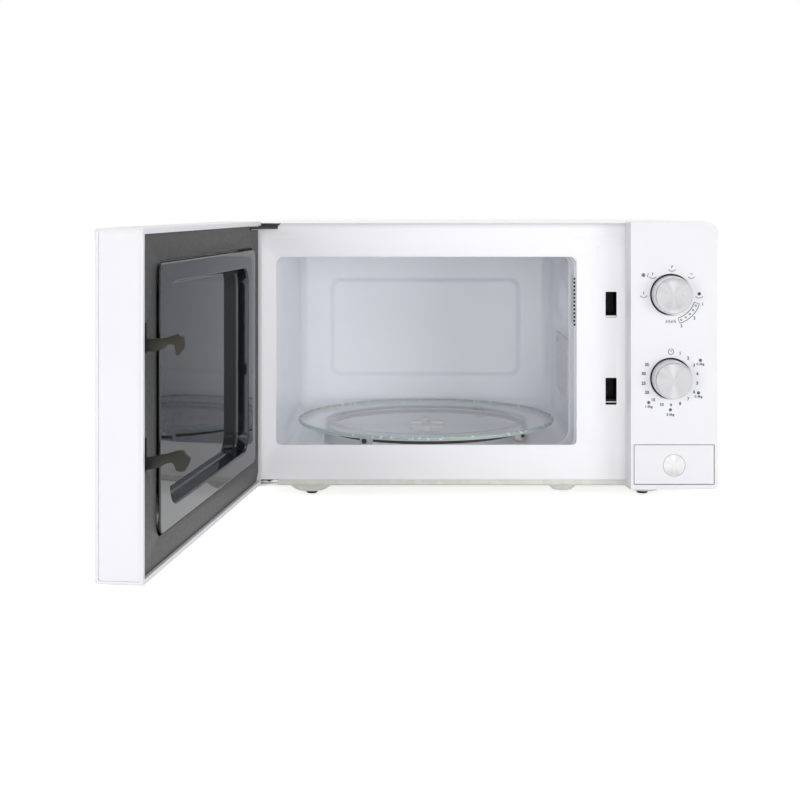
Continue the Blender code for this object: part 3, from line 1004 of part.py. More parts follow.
def bracket_outline(back):
    """Plan of a hinge bracket: an eye on the axis that widens to its root on the cabinet."""
    turns = [math.radians(turn) for turn in range(180, 361, 30)]
    eye = [(HINGE.x + HINGE_EYE * math.cos(t), HINGE.y + HINGE_EYE * math.sin(t)) for t in turns]
    root_left, root_right = -HALF + HINGE_ROOT[0], -HALF + HINGE_ROOT[1]
    return eye + [(root_right, -1.5 * mm), (root_right, back), (root_left, back), (root_left, -1.5 * mm)]


def make_hinges(root):
    top = upper_bracket_top()
    plate = prism("Z", bracket_outline(FRAME_FLANGE), top - HINGE_PLATE, top)
    pin = rod("Z", (HINGE.x, HINGE.y), PIN_RADIUS, top - HINGE_PLATE - PIN_LENGTH, top - HINGE_PLATE / 2,
              16)
    spacer = block(-HALF + HINGE_ROOT[0], -HALF + HINGE_ROOT[1], 3 * mm, FRAME_FLANGE,
                   top - HINGE_PLATE / 2, top + HINGE_CLEAR)
    piece("upper_hinge", plate, "zinc_steel", root, add=[pin, spacer])
    top = FASCIA_BOTTOM - 0.5 * mm
    leaf_back = PAN_FRONT - GAP
    plate = prism("Z", bracket_outline(leaf_back), top - HINGE_PLATE, top)
    leaf = block(-HALF + HINGE_ROOT[0], -HALF + HINGE_ROOT[1], leaf_back - 1.6 * mm, leaf_back,
                 top - HINGE_PLATE / 2, FRAME_BOTTOM - GAP)
    pin = rod("Z", (HINGE.x, HINGE.y), PIN_RADIUS, top - HINGE_PLATE / 2, top + PIN_LENGTH - 2 * mm, 16)
    piece("lower_hinge", plate, "zinc_steel", root, add=[leaf, pin])


def stored_origin():
    """The point below the middle of the whole object's box, with the door open."""
    turn = Matrix.Rotation(math.radians(-DOOR_OPEN_DEG), 3, "Z")
    corners = [HINGE + turn @ (Vector((x, y, 0)) - HINGE)
               for x in (DOOR_LEFT, DOOR_RIGHT) for y in (DOOR_OUT, DOOR_IN)]
    left = min(point.x for point in corners)
    front = min(point.y for point in corners)
    back = CABINET_DEPTH + GAP + GLAND_FLANGE
    return Vector(((left + HALF) / 2, (front + back) / 2, 0.0))


def build():
    for obj in list(bpy.data.objects):
        bpy.data.objects.remove(obj, do_unlink=True)
    make_materials()
    root = make_empty("oven_root", (0, 0, 0))
    root.location = -stored_origin()
    door = make_empty("door_pivot", HINGE, root, -DOOR_OPEN_DEG)
    for make in (make_feet, make_base_pan, make_outer_cover, make_front_frame, make_rear_panel,
                 make_cord_gland, make_cavity_liner, make_control_panel, make_timer_bell,
                 make_release_button, make_release_lever, make_latch_board, make_waveguide,
                 make_magnetron, make_transformer, make_capacitor, make_fan, make_lamp,
                 make_thermal_cutout, make_filter_board, make_grill, make_turntable, make_hinges):
        make(root)
    for name, unit in (("function", "selector_switch"), ("timer", "timer_unit")):
        make_knob(name, KNOB_Z[name], root)
        make_dial_unit(unit, KNOB_Z[name], root)
    for make in (make_door_frame, make_door_glass, make_door_screen, make_inner_panel,
                 make_choke_cover, make_latch_hooks):
        make(door)


build()
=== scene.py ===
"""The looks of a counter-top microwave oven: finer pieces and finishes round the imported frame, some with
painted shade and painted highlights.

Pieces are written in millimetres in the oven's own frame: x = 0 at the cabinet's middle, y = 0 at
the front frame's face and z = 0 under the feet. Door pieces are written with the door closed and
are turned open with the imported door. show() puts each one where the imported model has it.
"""
import json
import math

import bmesh
import bpy
from mathutils import Matrix, Vector

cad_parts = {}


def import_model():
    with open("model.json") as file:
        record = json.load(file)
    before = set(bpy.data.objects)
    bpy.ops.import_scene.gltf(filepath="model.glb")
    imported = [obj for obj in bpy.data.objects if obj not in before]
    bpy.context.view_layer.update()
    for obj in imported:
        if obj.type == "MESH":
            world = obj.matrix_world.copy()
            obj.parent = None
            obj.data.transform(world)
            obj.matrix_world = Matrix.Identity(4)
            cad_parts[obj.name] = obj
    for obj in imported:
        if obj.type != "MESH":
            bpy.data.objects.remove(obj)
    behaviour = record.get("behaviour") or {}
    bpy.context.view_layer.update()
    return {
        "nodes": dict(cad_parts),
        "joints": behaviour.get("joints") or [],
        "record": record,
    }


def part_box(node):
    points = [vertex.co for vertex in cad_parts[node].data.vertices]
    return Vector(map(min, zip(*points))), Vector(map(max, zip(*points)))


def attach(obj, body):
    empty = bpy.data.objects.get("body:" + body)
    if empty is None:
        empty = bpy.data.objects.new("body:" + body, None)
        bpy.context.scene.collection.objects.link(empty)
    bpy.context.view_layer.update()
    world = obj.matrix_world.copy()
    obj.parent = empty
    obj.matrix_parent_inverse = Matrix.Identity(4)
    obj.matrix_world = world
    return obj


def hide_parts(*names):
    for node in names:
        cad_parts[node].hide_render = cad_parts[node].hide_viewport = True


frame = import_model()
RECORD = frame["record"]
NODES = frame["nodes"]
BODY_OF = {node: body for body, nodes in RECORD["behaviour"]["bodies"].items() for node in nodes}
SLOT_OF = {part["node"]: part["material_slot"] for part in RECORD["subparts"]}
MM = 0.001

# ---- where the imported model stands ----
FACE_LOW, FACE_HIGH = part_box("front_frame")
ORIGIN = Vector(((FACE_LOW.x + FACE_HIGH.x) / 2, FACE_LOW.y, 0.0))
SWING = next(joint for joint in frame["joints"] if joint["name"] == "door_swing")
HINGE = (Vector(SWING["pos_m"]) - ORIGIN) / MM
OPEN_TURN = Matrix.Rotation(-math.radians(SWING["range_deg"][1]), 4, "Z")
OPENED = Matrix.Translation(HINGE) @ OPEN_TURN @ Matrix.Translation(-HINGE)


def oven_box(node):
    """A fixed node's lowest and highest corner, in millimetres in the oven's frame."""
    low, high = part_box(node)
    return (low - ORIGIN) / MM, (high - ORIGIN) / MM


def door_box(node):
    """The same for a door node, with the door closed."""
    closed = OPENED.inverted()
    points = [closed @ ((vert.co - ORIGIN) / MM) for vert in NODES[node].data.vertices]
    return (Vector([min(p[axis] for p in points) for axis in range(3)]),
            Vector([max(p[axis] for p in points) for axis in range(3)]))


def world(x, y, z):
    """A place in the oven's frame, as the metres that materials and lights use."""
    return ORIGIN + Vector((x, y, z)) * MM


# ---- sizes that several pieces share ----
FACE = oven_box("front_frame")
LINER = oven_box("cavity_liner")
PANEL = oven_box("control_panel")
DOOR = door_box("door_frame")
MOUTH_FLANGE = 10.0
CAVITY_LEFT, CAVITY_RIGHT = LINER[0].x + MOUTH_FLANGE, LINER[1].x - MOUTH_FLANGE
CAVITY_FLOOR, CAVITY_TOP = LINER[0].z + MOUTH_FLANGE, LINER[1].z - MOUTH_FLANGE
CAVITY = ((CAVITY_LEFT, 0, CAVITY_FLOOR), (CAVITY_RIGHT, 0, CAVITY_TOP))
SHEET = 0.8
OPEN_LEFT, OPEN_RIGHT = CAVITY_LEFT + 1.5, CAVITY_RIGHT - 1.5
OPEN_LOW, OPEN_TOP = CAVITY_FLOOR + 11.0, CAVITY_TOP - 2.1
OPENING = ((OPEN_LEFT, 0, OPEN_LOW), (OPEN_RIGHT, 0, OPEN_TOP))
OPEN_CORNER = 5.0
LATCH_X = PANEL[0].x - 13.6
SLOT_HALF = 5.2
HOOK_LEVELS = (182.0, 99.3)         # the middles of the two hooks' arms
SLOT_LEVELS = [(HOOK_LEVELS[0] - 10.0, HOOK_LEVELS[0] + 14.4), (HOOK_LEVELS[1] - 9.9, HOOK_LEVELS[1] + 15.5)]
DIALS = {"function": oven_box("function_knob_cap"), "timer": oven_box("timer_knob_cap")}
DIAL_X = (DIALS["timer"][0].x + DIALS["timer"][1].x) / 2
DIAL_Z = {name: (low.z + high.z) / 2 for name, (low, high) in DIALS.items()}
PANEL_FACE = PANEL[0].y
BUTTON = oven_box("release_button")
PLATE = oven_box("glass_plate")
TURN_X, TURN_Y = (PLATE[0].x + PLATE[1].x) / 2, (PLATE[0].y + PLATE[1].y) / 2
FINISHES = {}


# ---- shapes, each a bmesh in millimetres ----
def rounded(a0, a1, b0, b1, radius, steps=6):
    """A rectangle's outline with round corners; radius is one or four, from (a0, b0) round."""
    radii = radius if isinstance(radius, tuple) else (radius,) * 4
    centres = [(a0, b0, 1, 1, 180), (a1, b0, -1, 1, 270), (a1, b1, -1, -1, 0), (a0, b1, 1, -1, 90)]
    points = []
    for (a, b, side_a, side_b, start), r in zip(centres, radii):
        turns = [math.radians(start + 90 * step / steps) for step in range(steps + 1)] if r else []
        points += [(a + side_a * r + r * math.cos(t), b + side_b * r + r * math.sin(t)) for t in turns]
        if not r:
            points.append((a, b))
    return points


def outline_of(box, inset, radius, steps=6, axes="xz"):
    """A box's outline across two axes, moved inwards, with round corners."""
    low, high = box
    a, b = ("xyz".index(axis) for axis in axes)
    return rounded(low[a] + inset, high[a] - inset, low[b] + inset, high[b] - inset, radius, steps)


def at_depth(outline, y):
    return [(x, y, z) for x, z in outline]


def circle(a, b, radius, sides):
    turns = [2 * math.pi * side / sides for side in range(sides)]
    return [(a + radius * math.cos(t), b + radius * math.sin(t)) for t in turns]


def quarter(steps):
    """Each step of a fillet with radius 1 after its start: how far across, and how far is left."""
    turns = [math.pi / 2 * step / steps for step in range(1, steps + 1)]
    return [(1 - math.cos(t), 1 - math.sin(t)) for t in turns]


def eased(part):
    """From 0 to 1 in an S, as pressed sheet falls from one level to another."""
    return 0.5 - 0.5 * math.cos(math.pi * part)


def along(axis, a, b, t):
    """A point from two coordinates across an axis and one along it."""
    return Vector({"X": (t, a, b), "Y": (a, t, b), "Z": (a, b, t)}[axis])


def prism(axis, outline, low, high):
    """An outline across an axis, extruded along it."""
    bm = bmesh.new()
    face = bm.faces.new([bm.verts.new(along(axis, a, b, low)) for a, b in outline])
    grown = bmesh.ops.extrude_face_region(bm, geom=[face])["geom"]
    tops = [item for item in grown if isinstance(item, bmesh.types.BMVert)]
    bmesh.ops.translate(bm, verts=tops, vec=along(axis, 0, 0, high - low))
    bmesh.ops.recalc_face_normals(bm, faces=bm.faces)
    return bm


def block(x0, x1, y0, y1, z0, z1):
    return prism("Z", [(x0, y0), (x1, y0), (x1, y1), (x0, y1)], z0, z1)


def rod(axis, a, b, radius, low, high, sides):
    return prism(axis, circle(a, b, radius, sides), low, high)


def lathe(axis, a, b, profile, steps=96, start=0.0):
    """A profile of (radius, place along the axis after its start), turned round the axis."""
    bm = bmesh.new()
    verts = [bm.verts.new((r, 0.0, start + t)) for r, t in profile]
    if profile[0][0] > 0 or profile[-1][0] > 0:
        verts.append(verts[0])
    edges = [bm.edges.new(pair) for pair in zip(verts, verts[1:])]
    bmesh.ops.spin(bm, geom=list(bm.verts) + edges, cent=(0, 0, 0), axis=(0, 0, 1), dvec=(0, 0, 0),
                   angle=2 * math.pi, steps=steps, use_merge=True)
    bmesh.ops.remove_doubles(bm, verts=bm.verts, dist=0.001)
    turn = {"X": Matrix.Rotation(math.pi / 2, 4, "Y"), "Y": Matrix.Rotation(-math.pi / 2, 4, "X"),
            "Z": Matrix.Identity(4)}[axis]
    bmesh.ops.transform(bm, matrix=Matrix.Translation(along(axis, a, b, 0)) @ turn, verts=bm.verts)
    bmesh.ops.recalc_face_normals(bm, faces=bm.faces)
    return bm


def round_off(bm, pick, width, segments):
    """Bevel the edges that pick(edge) chooses."""
    edges = [edge for edge in bm.edges if pick(edge)]
    bmesh.ops.bevel(bm, geom=edges, offset=width, segments=segments, profile=0.5,
                    affect="EDGES", material=-1)
    return bm


def in_plane(axis, level):
    """Chooses the edges that lie in one plane across an axis."""
    number = "XYZ".index(axis)
    return lambda edge: all(abs(vert.co[number] - level) < 0.01 for vert in edge.verts)


def mesh_of(obj):
    """An object's finished mesh, with its modifiers applied, and the object removed."""
    bpy.context.view_layer.update()
    mesh = bpy.data.meshes.new_from_object(obj.evaluated_get(bpy.context.evaluated_depsgraph_get()))
    bpy.data.objects.remove(obj)
    return mesh


def placed(name, data):
    """A new object in the scene."""
    obj = bpy.data.objects.new(name, data)
    bpy.context.scene.collection.objects.link(obj)
    return obj


def mesh_from(bm):
    mesh = bpy.data.meshes.new("shape")
    bm.to_mesh(mesh)
    bm.free()
    return mesh


def shape_of(obj, merge=0.0001):
    """A temporary object's finished shape as a bmesh, with its doubles merged."""
    bm = bmesh.new()
    bm.from_mesh(mesh_of(obj))
    bmesh.ops.remove_doubles(bm, verts=bm.verts, dist=merge)
    return bm


def stood_up(bm, place):
    """Stand a shape that was made flat on X and Y upright, facing the front."""
    stand = Matrix.Translation(place) @ Matrix.Rotation(math.pi / 2, 4, "X")
    bmesh.ops.transform(bm, matrix=stand, verts=bm.verts)
    return bm


def joined(*shapes):
    """Several shapes in one bmesh."""
    whole = bmesh.new()
    for shape in shapes:
        mesh = mesh_from(shape)
        whole.from_mesh(mesh)
        bpy.data.meshes.remove(mesh)
    return whole


def cut(bm, tools):
    """A shape with others cut from it."""
    obj = placed("shape", mesh_from(bm))
    others = [placed("tool", mesh_from(tool)) for tool in tools]
    for other in others:
        modifier = obj.modifiers.new("boolean", "BOOLEAN")
        modifier.operation = "DIFFERENCE"
        modifier.solver = "EXACT"
        modifier.object = other
    result = shape_of(obj, 0.001)
    for other in others:
        bpy.data.objects.remove(other)
    bmesh.ops.dissolve_limit(result, angle_limit=math.radians(0.5), verts=result.verts,
                             edges=result.edges)
    return result


def plate(outlines, low, high, edge, steps=2):
    """A flat piece across Y: the first outline with the others cut out, its edges rounded."""
    curve = bpy.data.curves.new("plate", "CURVE")
    curve.dimensions = "2D"
    curve.fill_mode = "BOTH"
    curve.extrude = (high - low) / 2 - edge
    curve.bevel_depth = edge
    curve.bevel_resolution = steps
    curve.offset = -edge
    for number, outline in enumerate(outlines):
        spline = curve.splines.new("POLY")
        spline.points.add(len(outline) - 1)
        for point, (a, b) in zip(spline.points, outline if number == 0 else outline[::-1]):
            point.co = (a, b, 0.0, 1.0)
        spline.use_cyclic_u = True
    bm = stood_up(shape_of(placed("plate", curve), 0.001), (0, (low + high) / 2, 0))
    bmesh.ops.recalc_face_normals(bm, faces=bm.faces)
    return bm


def bead(points, radius, closed=False, steps=3):
    """A round bead along a line of points."""
    curve = bpy.data.curves.new("bead", "CURVE")
    curve.dimensions = "3D"
    curve.bevel_depth = radius
    curve.bevel_resolution = steps
    curve.use_fill_caps = True
    spline = curve.splines.new("POLY")
    spline.points.add(len(points) - 1)
    for point, place in zip(spline.points, points):
        point.co = (*place, 1.0)
    spline.use_cyclic_u = closed
    bm = shape_of(placed("bead", curve))
    bmesh.ops.recalc_face_normals(bm, faces=bm.faces)
    return bm


def finished(bm, name, modifiers):
    """A mesh from a bmesh, through modifiers given as (kind, settings)."""
    obj = placed(name, mesh_from(bm))
    for kind, settings in modifiers:
        modifier = obj.modifiers.new(kind.lower(), kind)
        for key, value in settings.items():
            setattr(modifier, key, value)
    return mesh_of(obj)


def loft(loops, cap_first=True):
    """Skin a row of outlines that have the same number of points."""
    bm = bmesh.new()
    rows = [[bm.verts.new(point) for point in loop] for loop in loops]
    for row, after in zip(rows, rows[1:]):
        for index in range(len(row)):
            following = (index + 1) % len(row)
            bm.faces.new((row[index], row[following], after[following], after[index]))
    if cap_first:
        bm.faces.new(rows[0])
    bm.faces.new(rows[-1])
    bmesh.ops.remove_doubles(bm, verts=bm.verts, dist=0.0005)
    bmesh.ops.recalc_face_normals(bm, faces=bm.faces)
    return bm


def turned_to(bm, place, normal):
    """Stand a shape that was made upright on Z on a place, facing along a normal."""
    turn = Vector((0, 0, 1)).rotation_difference(Vector(normal)).to_matrix().to_4x4()
    bmesh.ops.transform(bm, matrix=Matrix.Translation(place) @ turn, verts=bm.verts)
    return bm


def disc(place, normal, radius, thickness, sides):
    return turned_to(rod("Z", 0, 0, radius, -thickness / 2, thickness / 2, sides), place, normal)


def weighted_bevel(bm, pick, width, weight):
    """Bevel chosen edges, each by its own share of the width."""
    layer = bm.edges.layers.float.new("bevel_weight_edge")
    for edge in bm.edges:
        edge[layer] = weight(edge) if pick(edge) else 0.0
    ease = ("BEVEL", {"width": width, "segments": 6, "limit_method": "WEIGHT"})
    result = bmesh.new()
    result.from_mesh(finished(bm, "eased", [ease]))
    return result


def show(name, bm, body, finish, replaces=(), door=False, smooth=35, modifiers=()):
    """Put a finished piece in the scene, on its body, in place of the nodes it stands for."""
    if door:
        bmesh.ops.transform(bm, matrix=OPENED, verts=bm.verts)
    bmesh.ops.scale(bm, vec=(MM, MM, MM), verts=bm.verts)
    bmesh.ops.translate(bm, vec=ORIGIN, verts=bm.verts)
    mesh = finished(bm, name, modifiers)
    mesh.shade_smooth()
    mesh.set_sharp_from_angle(angle=math.radians(smooth))
    mesh.materials.clear()
    mesh.materials.append(FINISHES[finish])
    obj = placed(name, mesh)
    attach(obj, body)
    if replaces:
        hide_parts(*replaces)
    return obj


def refined(node, width, segments=2, finish=None):
    """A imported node's own shape with its sharp edges eased, in place of the node."""
    bm = bmesh.new()
    bm.from_mesh(NODES[node].data)
    bmesh.ops.remove_doubles(bm, verts=bm.verts, dist=0.00001)
    bmesh.ops.dissolve_limit(bm, angle_limit=math.radians(1), verts=bm.verts, edges=bm.edges)
    bmesh.ops.translate(bm, vec=-ORIGIN, verts=bm.verts)
    bmesh.ops.scale(bm, vec=(1 / MM,) * 3, verts=bm.verts)
    ease = ("BEVEL", {"width": width * MM, "segments": segments, "limit_method": "ANGLE",
                      "angle_limit": math.radians(30), "use_clamp_overlap": True})
    show(f"{node}_eased", bm, BODY_OF[node], finish or SLOT_OF[node], (node,), modifiers=[ease])


# ---- finishes ----
def add_node(tree, kind, inputs=None, **settings):
    made = tree.nodes.new(kind)
    for key, value in settings.items():
        setattr(made, key, value)
    for key, value in (inputs or {}).items():
        if isinstance(value, bpy.types.NodeSocket):
            tree.links.new(value, made.inputs[key])
        else:
            made.inputs[key].default_value = value
    return made


def coordinates(tree, centre=(0, 0, 0), turn=(0, 0, 0), scale=(1, 1, 1)):
    """Object coordinates in metres, from a centre, turned and stretched."""
    source = add_node(tree, "ShaderNodeTexCoord")
    moved = add_node(tree, "ShaderNodeVectorMath", {0: source.outputs["Object"], 1: centre},
                     operation="SUBTRACT")
    return add_node(tree, "ShaderNodeMapping", {"Vector": moved.outputs[0], "Rotation": turn,
                                                "Scale": scale}).outputs[0]


def noise(tree, scale, detail=3.0, vector=None):
    return add_node(tree, "ShaderNodeTexNoise", {"Vector": vector or coordinates(tree), "Scale": scale,
                                                 "Detail": detail}).outputs["Fac"]


def spread(tree, value, low, high, start=0.3, end=0.7):
    """Turn a pattern's middle range into low to high."""
    return add_node(tree, "ShaderNodeMapRange", {"Value": value, "From Min": start, "From Max": end,
                                                 "To Min": low, "To Max": high}).outputs[0]


def color_between(tree, shader, factor, first, second):
    """Colour a shader with a mix of two colours."""
    mixed = add_node(tree, "ShaderNodeMix", data_type="RGBA")
    tree.links.new(factor, mixed.inputs["Factor"])
    mixed.inputs["A"].default_value = (*first, 1.0)
    mixed.inputs["B"].default_value = (*second, 1.0)
    tree.links.new(mixed.outputs["Result"], shader.inputs["Base Color"])


def scaled(color, amount):
    return [min(1.0, channel * amount) for channel in color]


def bumped(tree, shader, height, distance):
    made = add_node(tree, "ShaderNodeBump", {"Height": height, "Distance": distance * MM})
    tree.links.new(made.outputs[0], shader.inputs["Normal"])


def new_material(name):
    """A new material, its node tree and its shader."""
    material = bpy.data.materials.new(name)
    material.use_nodes = True
    return material, material.node_tree, material.node_tree.nodes["Principled BSDF"]


def finish(name, color, roughness, metallic=0.0, tone=0.03, tone_scale=25.0, rough_change=0.05,
           grain=0.0, grain_scale=2500.0, **sockets):
    """A base finish: colour that drifts a little, roughness that varies, and a grain."""
    FINISHES[name], tree, shader = new_material(name)
    shader.inputs["Metallic"].default_value = metallic
    for key, value in sockets.items():
        shader.inputs[key.replace("_", " ")].default_value = value
    drift = spread(tree, noise(tree, tone_scale), 0.0, 1.0)
    color_between(tree, shader, drift, scaled(color, 1 - tone), scaled(color, 1 + tone))
    rubbed = spread(tree, noise(tree, tone_scale * 7, 5.0), roughness - rough_change,
                    roughness + rough_change)
    tree.links.new(rubbed, shader.inputs["Roughness"])
    if grain:
        bumped(tree, shader, noise(tree, grain_scale, 2.0), grain)
    return tree, shader


def make_finishes():
    """Every finish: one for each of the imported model's material slots, and some for finer pieces."""
    finish("white_enamel", (0.80, 0.80, 0.83), 0.28, tone=0.002, rough_change=0.004)
    for name, color in (("white_plastic", (0.705, 0.705, 0.735)), ("door_plastic", (0.68, 0.68, 0.705))):
        finish(name, color, 0.38, tone=0.006, rough_change=0.02, grain=0.003, grain_scale=3000)
    make_frame_enamel_with_painted_shade()
    finish("cavity_enamel", (0.925, 0.942, 0.985), 0.22, tone=0.002, rough_change=0.004)
    finish("choke_plastic", (0.021, 0.021, 0.019), 0.48, tone=0.12, tone_scale=60, grain=0.02,
           grain_scale=2200)
    finish("gloss_dark", (0.008, 0.009, 0.012), 0.04, tone=0.1, rough_change=0.01, IOR=1.55)
    finish("dark_plastic", (0.017, 0.0165, 0.012), 0.5, tone=0.1, grain=0.02, IOR=1.4)
    finish("ring_plastic", (0.085, 0.062, 0.048), 0.4, tone=0.1, grain=0.03)
    finish("roller_plastic", (0.78, 0.77, 0.74), 0.35, tone=0.02, grain=0.01)
    finish("rubber", (0.012, 0.012, 0.012), 0.75, tone=0.2, grain=0.05, grain_scale=1800)
    finish("mica", (0.82, 0.80, 0.82), 0.42, tone=0.1, tone_scale=160, rough_change=0.12, grain=0.03,
           grain_scale=400)
    finish("ceramic", (0.78, 0.76, 0.70), 0.5, grain=0.03)
    finish("quartz", (0.8, 0.8, 0.78), 0.3, Transmission_Weight=0.6)
    finish("lamp_glass", (0.85, 0.85, 0.82), 0.25, Transmission_Weight=0.7)
    finish("bell_metal", (0.65, 0.48, 0.20), 0.3, 1.0, tone=0.08)
    finish("spring_steel", (0.55, 0.55, 0.56), 0.25, 1.0)
    finish("cast_aluminium", (0.66, 0.67, 0.68), 0.42, 1.0, tone=0.06, grain=0.05, grain_scale=1200)
    finish("can_aluminium", (0.68, 0.69, 0.70), 0.32, 1.0)
    make_steels()
    make_board()
    make_glasses()
    make_spun_metal_with_painted_sheen("brushed_metal", (0.46, 0.46, 0.47))
    make_spun_metal_with_painted_sheen("badge_metal", (0.62, 0.62, 0.615))
    finish("label_ink", (0.018, 0.018, 0.022), 0.6, tone=0.1, tone_scale=400)
    finish("hinge_black", (0.010, 0.011, 0.011), 0.35, tone=0.2, grain=0.03)
    # painted shade: near-black for gaps, grooves and holes that are dark only from shade
    finish("painted_shade_black", (0.012, 0.012, 0.012), 0.8, tone=0.2, grain=0.05)
    finish("black_cloth", (0.002, 0.002, 0.002), 0.95, Specular_IOR_Level=0.0)
    finish("screw_steel", (0.62, 0.62, 0.63), 0.28, 1.0, tone=0.05, grain=0.02)


TOP_EDGE_SHADE_BAND = 5.5                 # how far down from the frame's top edge the painted shade reaches


def make_frame_enamel_with_painted_shade():
    """White enamel painted darker towards the frame's rolled top edge: painted shade along that edge, not a
    change in the enamel.
    """
    color = (0.80, 0.80, 0.83)
    tree, shader = finish("frame_enamel_painted_top_shade", color, 0.28, tone=0.002, rough_change=0.004)
    height = add_node(tree, "ShaderNodeSeparateXYZ", {0: coordinates(tree)}).outputs[2]
    top = FACE[1].z * MM
    # painted shade: the enamel's colour falls to 62% over the top band, standing in for the shade along the
    # rolled top edge
    painted_shade_mask = spread(tree, height, 0.0, 1.0, top - TOP_EDGE_SHADE_BAND * MM, top)
    curved_painted_shade = add_node(tree, "ShaderNodeMath", {0: painted_shade_mask, 1: 1.6}, operation="POWER").outputs[0]
    color_between(tree, shader, curved_painted_shade, color, scaled(color, 0.62))


def make_steels():
    """Galvanised sheet has crystals; zinc-plated and laminated steel have fine lines."""
    for name, color, roughness, metallic in (("pan_steel", (0.62, 0.63, 0.575), 0.42, 0.1),
                                             ("zinc_steel", (0.60, 0.61, 0.62), 0.36, 0.9)):
        tree, shader = finish(name, color, roughness, metallic, grain=0.01)
        cells = add_node(tree, "ShaderNodeTexVoronoi", {"Vector": coordinates(tree), "Scale": 160.0})
        tint = add_node(tree, "ShaderNodeSeparateColor", {0: cells.outputs["Color"]}).outputs[0]
        color_between(tree, shader, tint, scaled(color, 0.94), scaled(color, 1.05))
        tree.links.new(spread(tree, tint, roughness - 0.07, roughness + 0.07, 0, 1),
                       shader.inputs["Roughness"])
    tree, shader = finish("core_steel", (0.16, 0.155, 0.15), 0.5, 0.6)
    sheets = add_node(tree, "ShaderNodeTexWave", {"Vector": coordinates(tree), "Scale": 600.0,
                                                  "Distortion": 0.4}, bands_direction="Y")
    bumped(tree, shader, sheets.outputs["Fac"], 0.1)


def make_board():
    """Green lacquer with darker tracks."""
    color = (0.035, 0.16, 0.06)
    tree, shader = finish("circuit_board", color, 0.4)
    tracks = add_node(tree, "ShaderNodeTexBrick", {"Vector": coordinates(tree, turn=(math.pi / 2, 0, 0)),
                                                   "Scale": 160.0, "Mortar Size": 0.03})
    color_between(tree, shader, tracks.outputs["Fac"], color, (0.05, 0.26, 0.10))


PLATE_TINT_START = 128.0            # from the plate's centre: where its green edge begins


def make_glasses():
    """Smoked window glass, and the plate's glass: clear, but green where it is seen edge on."""
    finish("smoked_glass", (0.02, 0.022, 0.025), 0.05, rough_change=0.01,
           Transmission_Weight=0.35, IOR=1.5)
    tree, shader = finish("plate_glass", (0.93, 0.97, 0.96), 0.02, tone=0.0, rough_change=0.01,
                          Transmission_Weight=0.84, IOR=1.45, Alpha=0.45)
    # painted highlight: pale, half-clear glass standing in for the bright highlights on the plate's lugs and
    # under its rim
    finish("pale_glass_painted_highlight", (0.97, 0.98, 0.98), 0.12, tone=0.01, Transmission_Weight=0.3, IOR=1.45)
    finish("ground_glass", (0.68, 0.84, 0.79), 0.25, tone=0.01, Transmission_Weight=0.35, IOR=1.45)
    spot = coordinates(tree, centre=world(TURN_X, TURN_Y, 0), scale=(1, 1, 0))
    reach = add_node(tree, "ShaderNodeVectorMath", {0: spot}, operation="LENGTH").outputs["Value"]
    rim = spread(tree, reach, 0.0, 1.0, PLATE_TINT_START * MM, (PLATE[1].x - TURN_X) * MM)
    color_between(tree, shader, rim, (0.95, 0.975, 0.97), (0.62, 0.80, 0.74))


def make_spun_metal_with_painted_sheen(name, color):
    """Turned aluminium: rings in the grain, and painted sheen: wedges of lighter and darker colour that run
    across them, standing in for reflections in the turned metal.
    """
    tree, shader = finish(name, color, 0.30, 1.0, tone=0.02, rough_change=0.03, Anisotropic=0.75)
    direction = add_node(tree, "ShaderNodeTangent", direction_type="UV_MAP", uv_map="rings")
    tree.links.new(direction.outputs[0], shader.inputs["Tangent"])
    lines = add_node(tree, "ShaderNodeUVMap", uv_map="rings")
    stretched = add_node(tree, "ShaderNodeMapping", {"Vector": lines.outputs[0], "Scale": (6, 90, 1)})
    ringed = noise(tree, 4.0, 4.0, stretched.outputs[0])
    # painted sheen: the wedges below lighten and darken the colour round the centre, as reflections in
    # turned metal do
    spokes = add_node(tree, "ShaderNodeUVMap", uv_map="spokes")
    painted_sheen_wedges = spread(tree, noise(tree, 3.2, 2.0, spokes.outputs[0]), 0.0, 1.0)
    # real grain and painted sheen together: the rings are grain, the wedges painted sheen
    brushed = add_node(tree, "ShaderNodeMath", {0: ringed, 1: painted_sheen_wedges}, operation="ADD").outputs[0]
    grain_and_painted_sheen_mix = add_node(tree, "ShaderNodeMath", {0: brushed, 1: 0.5}, operation="MULTIPLY").outputs[0]
    color_between(tree, shader, grain_and_painted_sheen_mix, scaled(color, 0.80), scaled(color, 1.2))
    bumped(tree, shader, ringed, 0.01)


def from_centre(point, centre):
    """The way from a disc's centre to a point, seen from the front."""
    away = point - centre
    return Vector((away.x, away.z))


def ring_map(obj, centre):
    """A UV map whose u runs round a centre and v outwards, and one of directions from it."""
    mesh = obj.data
    for name in ("rings", "spokes"):
        mesh.uv_layers.new(name=name)
    rings, spokes = mesh.uv_layers["rings"], mesh.uv_layers["spokes"]
    for polygon in mesh.polygons:
        ways = [from_centre(mesh.vertices[index].co, centre) for index in polygon.vertices]
        turns = [math.atan2(way.y, way.x) / (2 * math.pi) for way in ways]
        middle = from_centre(polygon.center, centre)
        for index, way, turn in zip(polygon.loop_indices, ways, turns):
            reach = way.length / MM / 10
            rings.data[index].uv = (turn + round(turns[0] - turn), reach)
            at_hub = reach <= 0.05
            spokes.data[index].uv = (middle if at_hub else way).normalized() * 0.5 + Vector((0.5, 0.5))


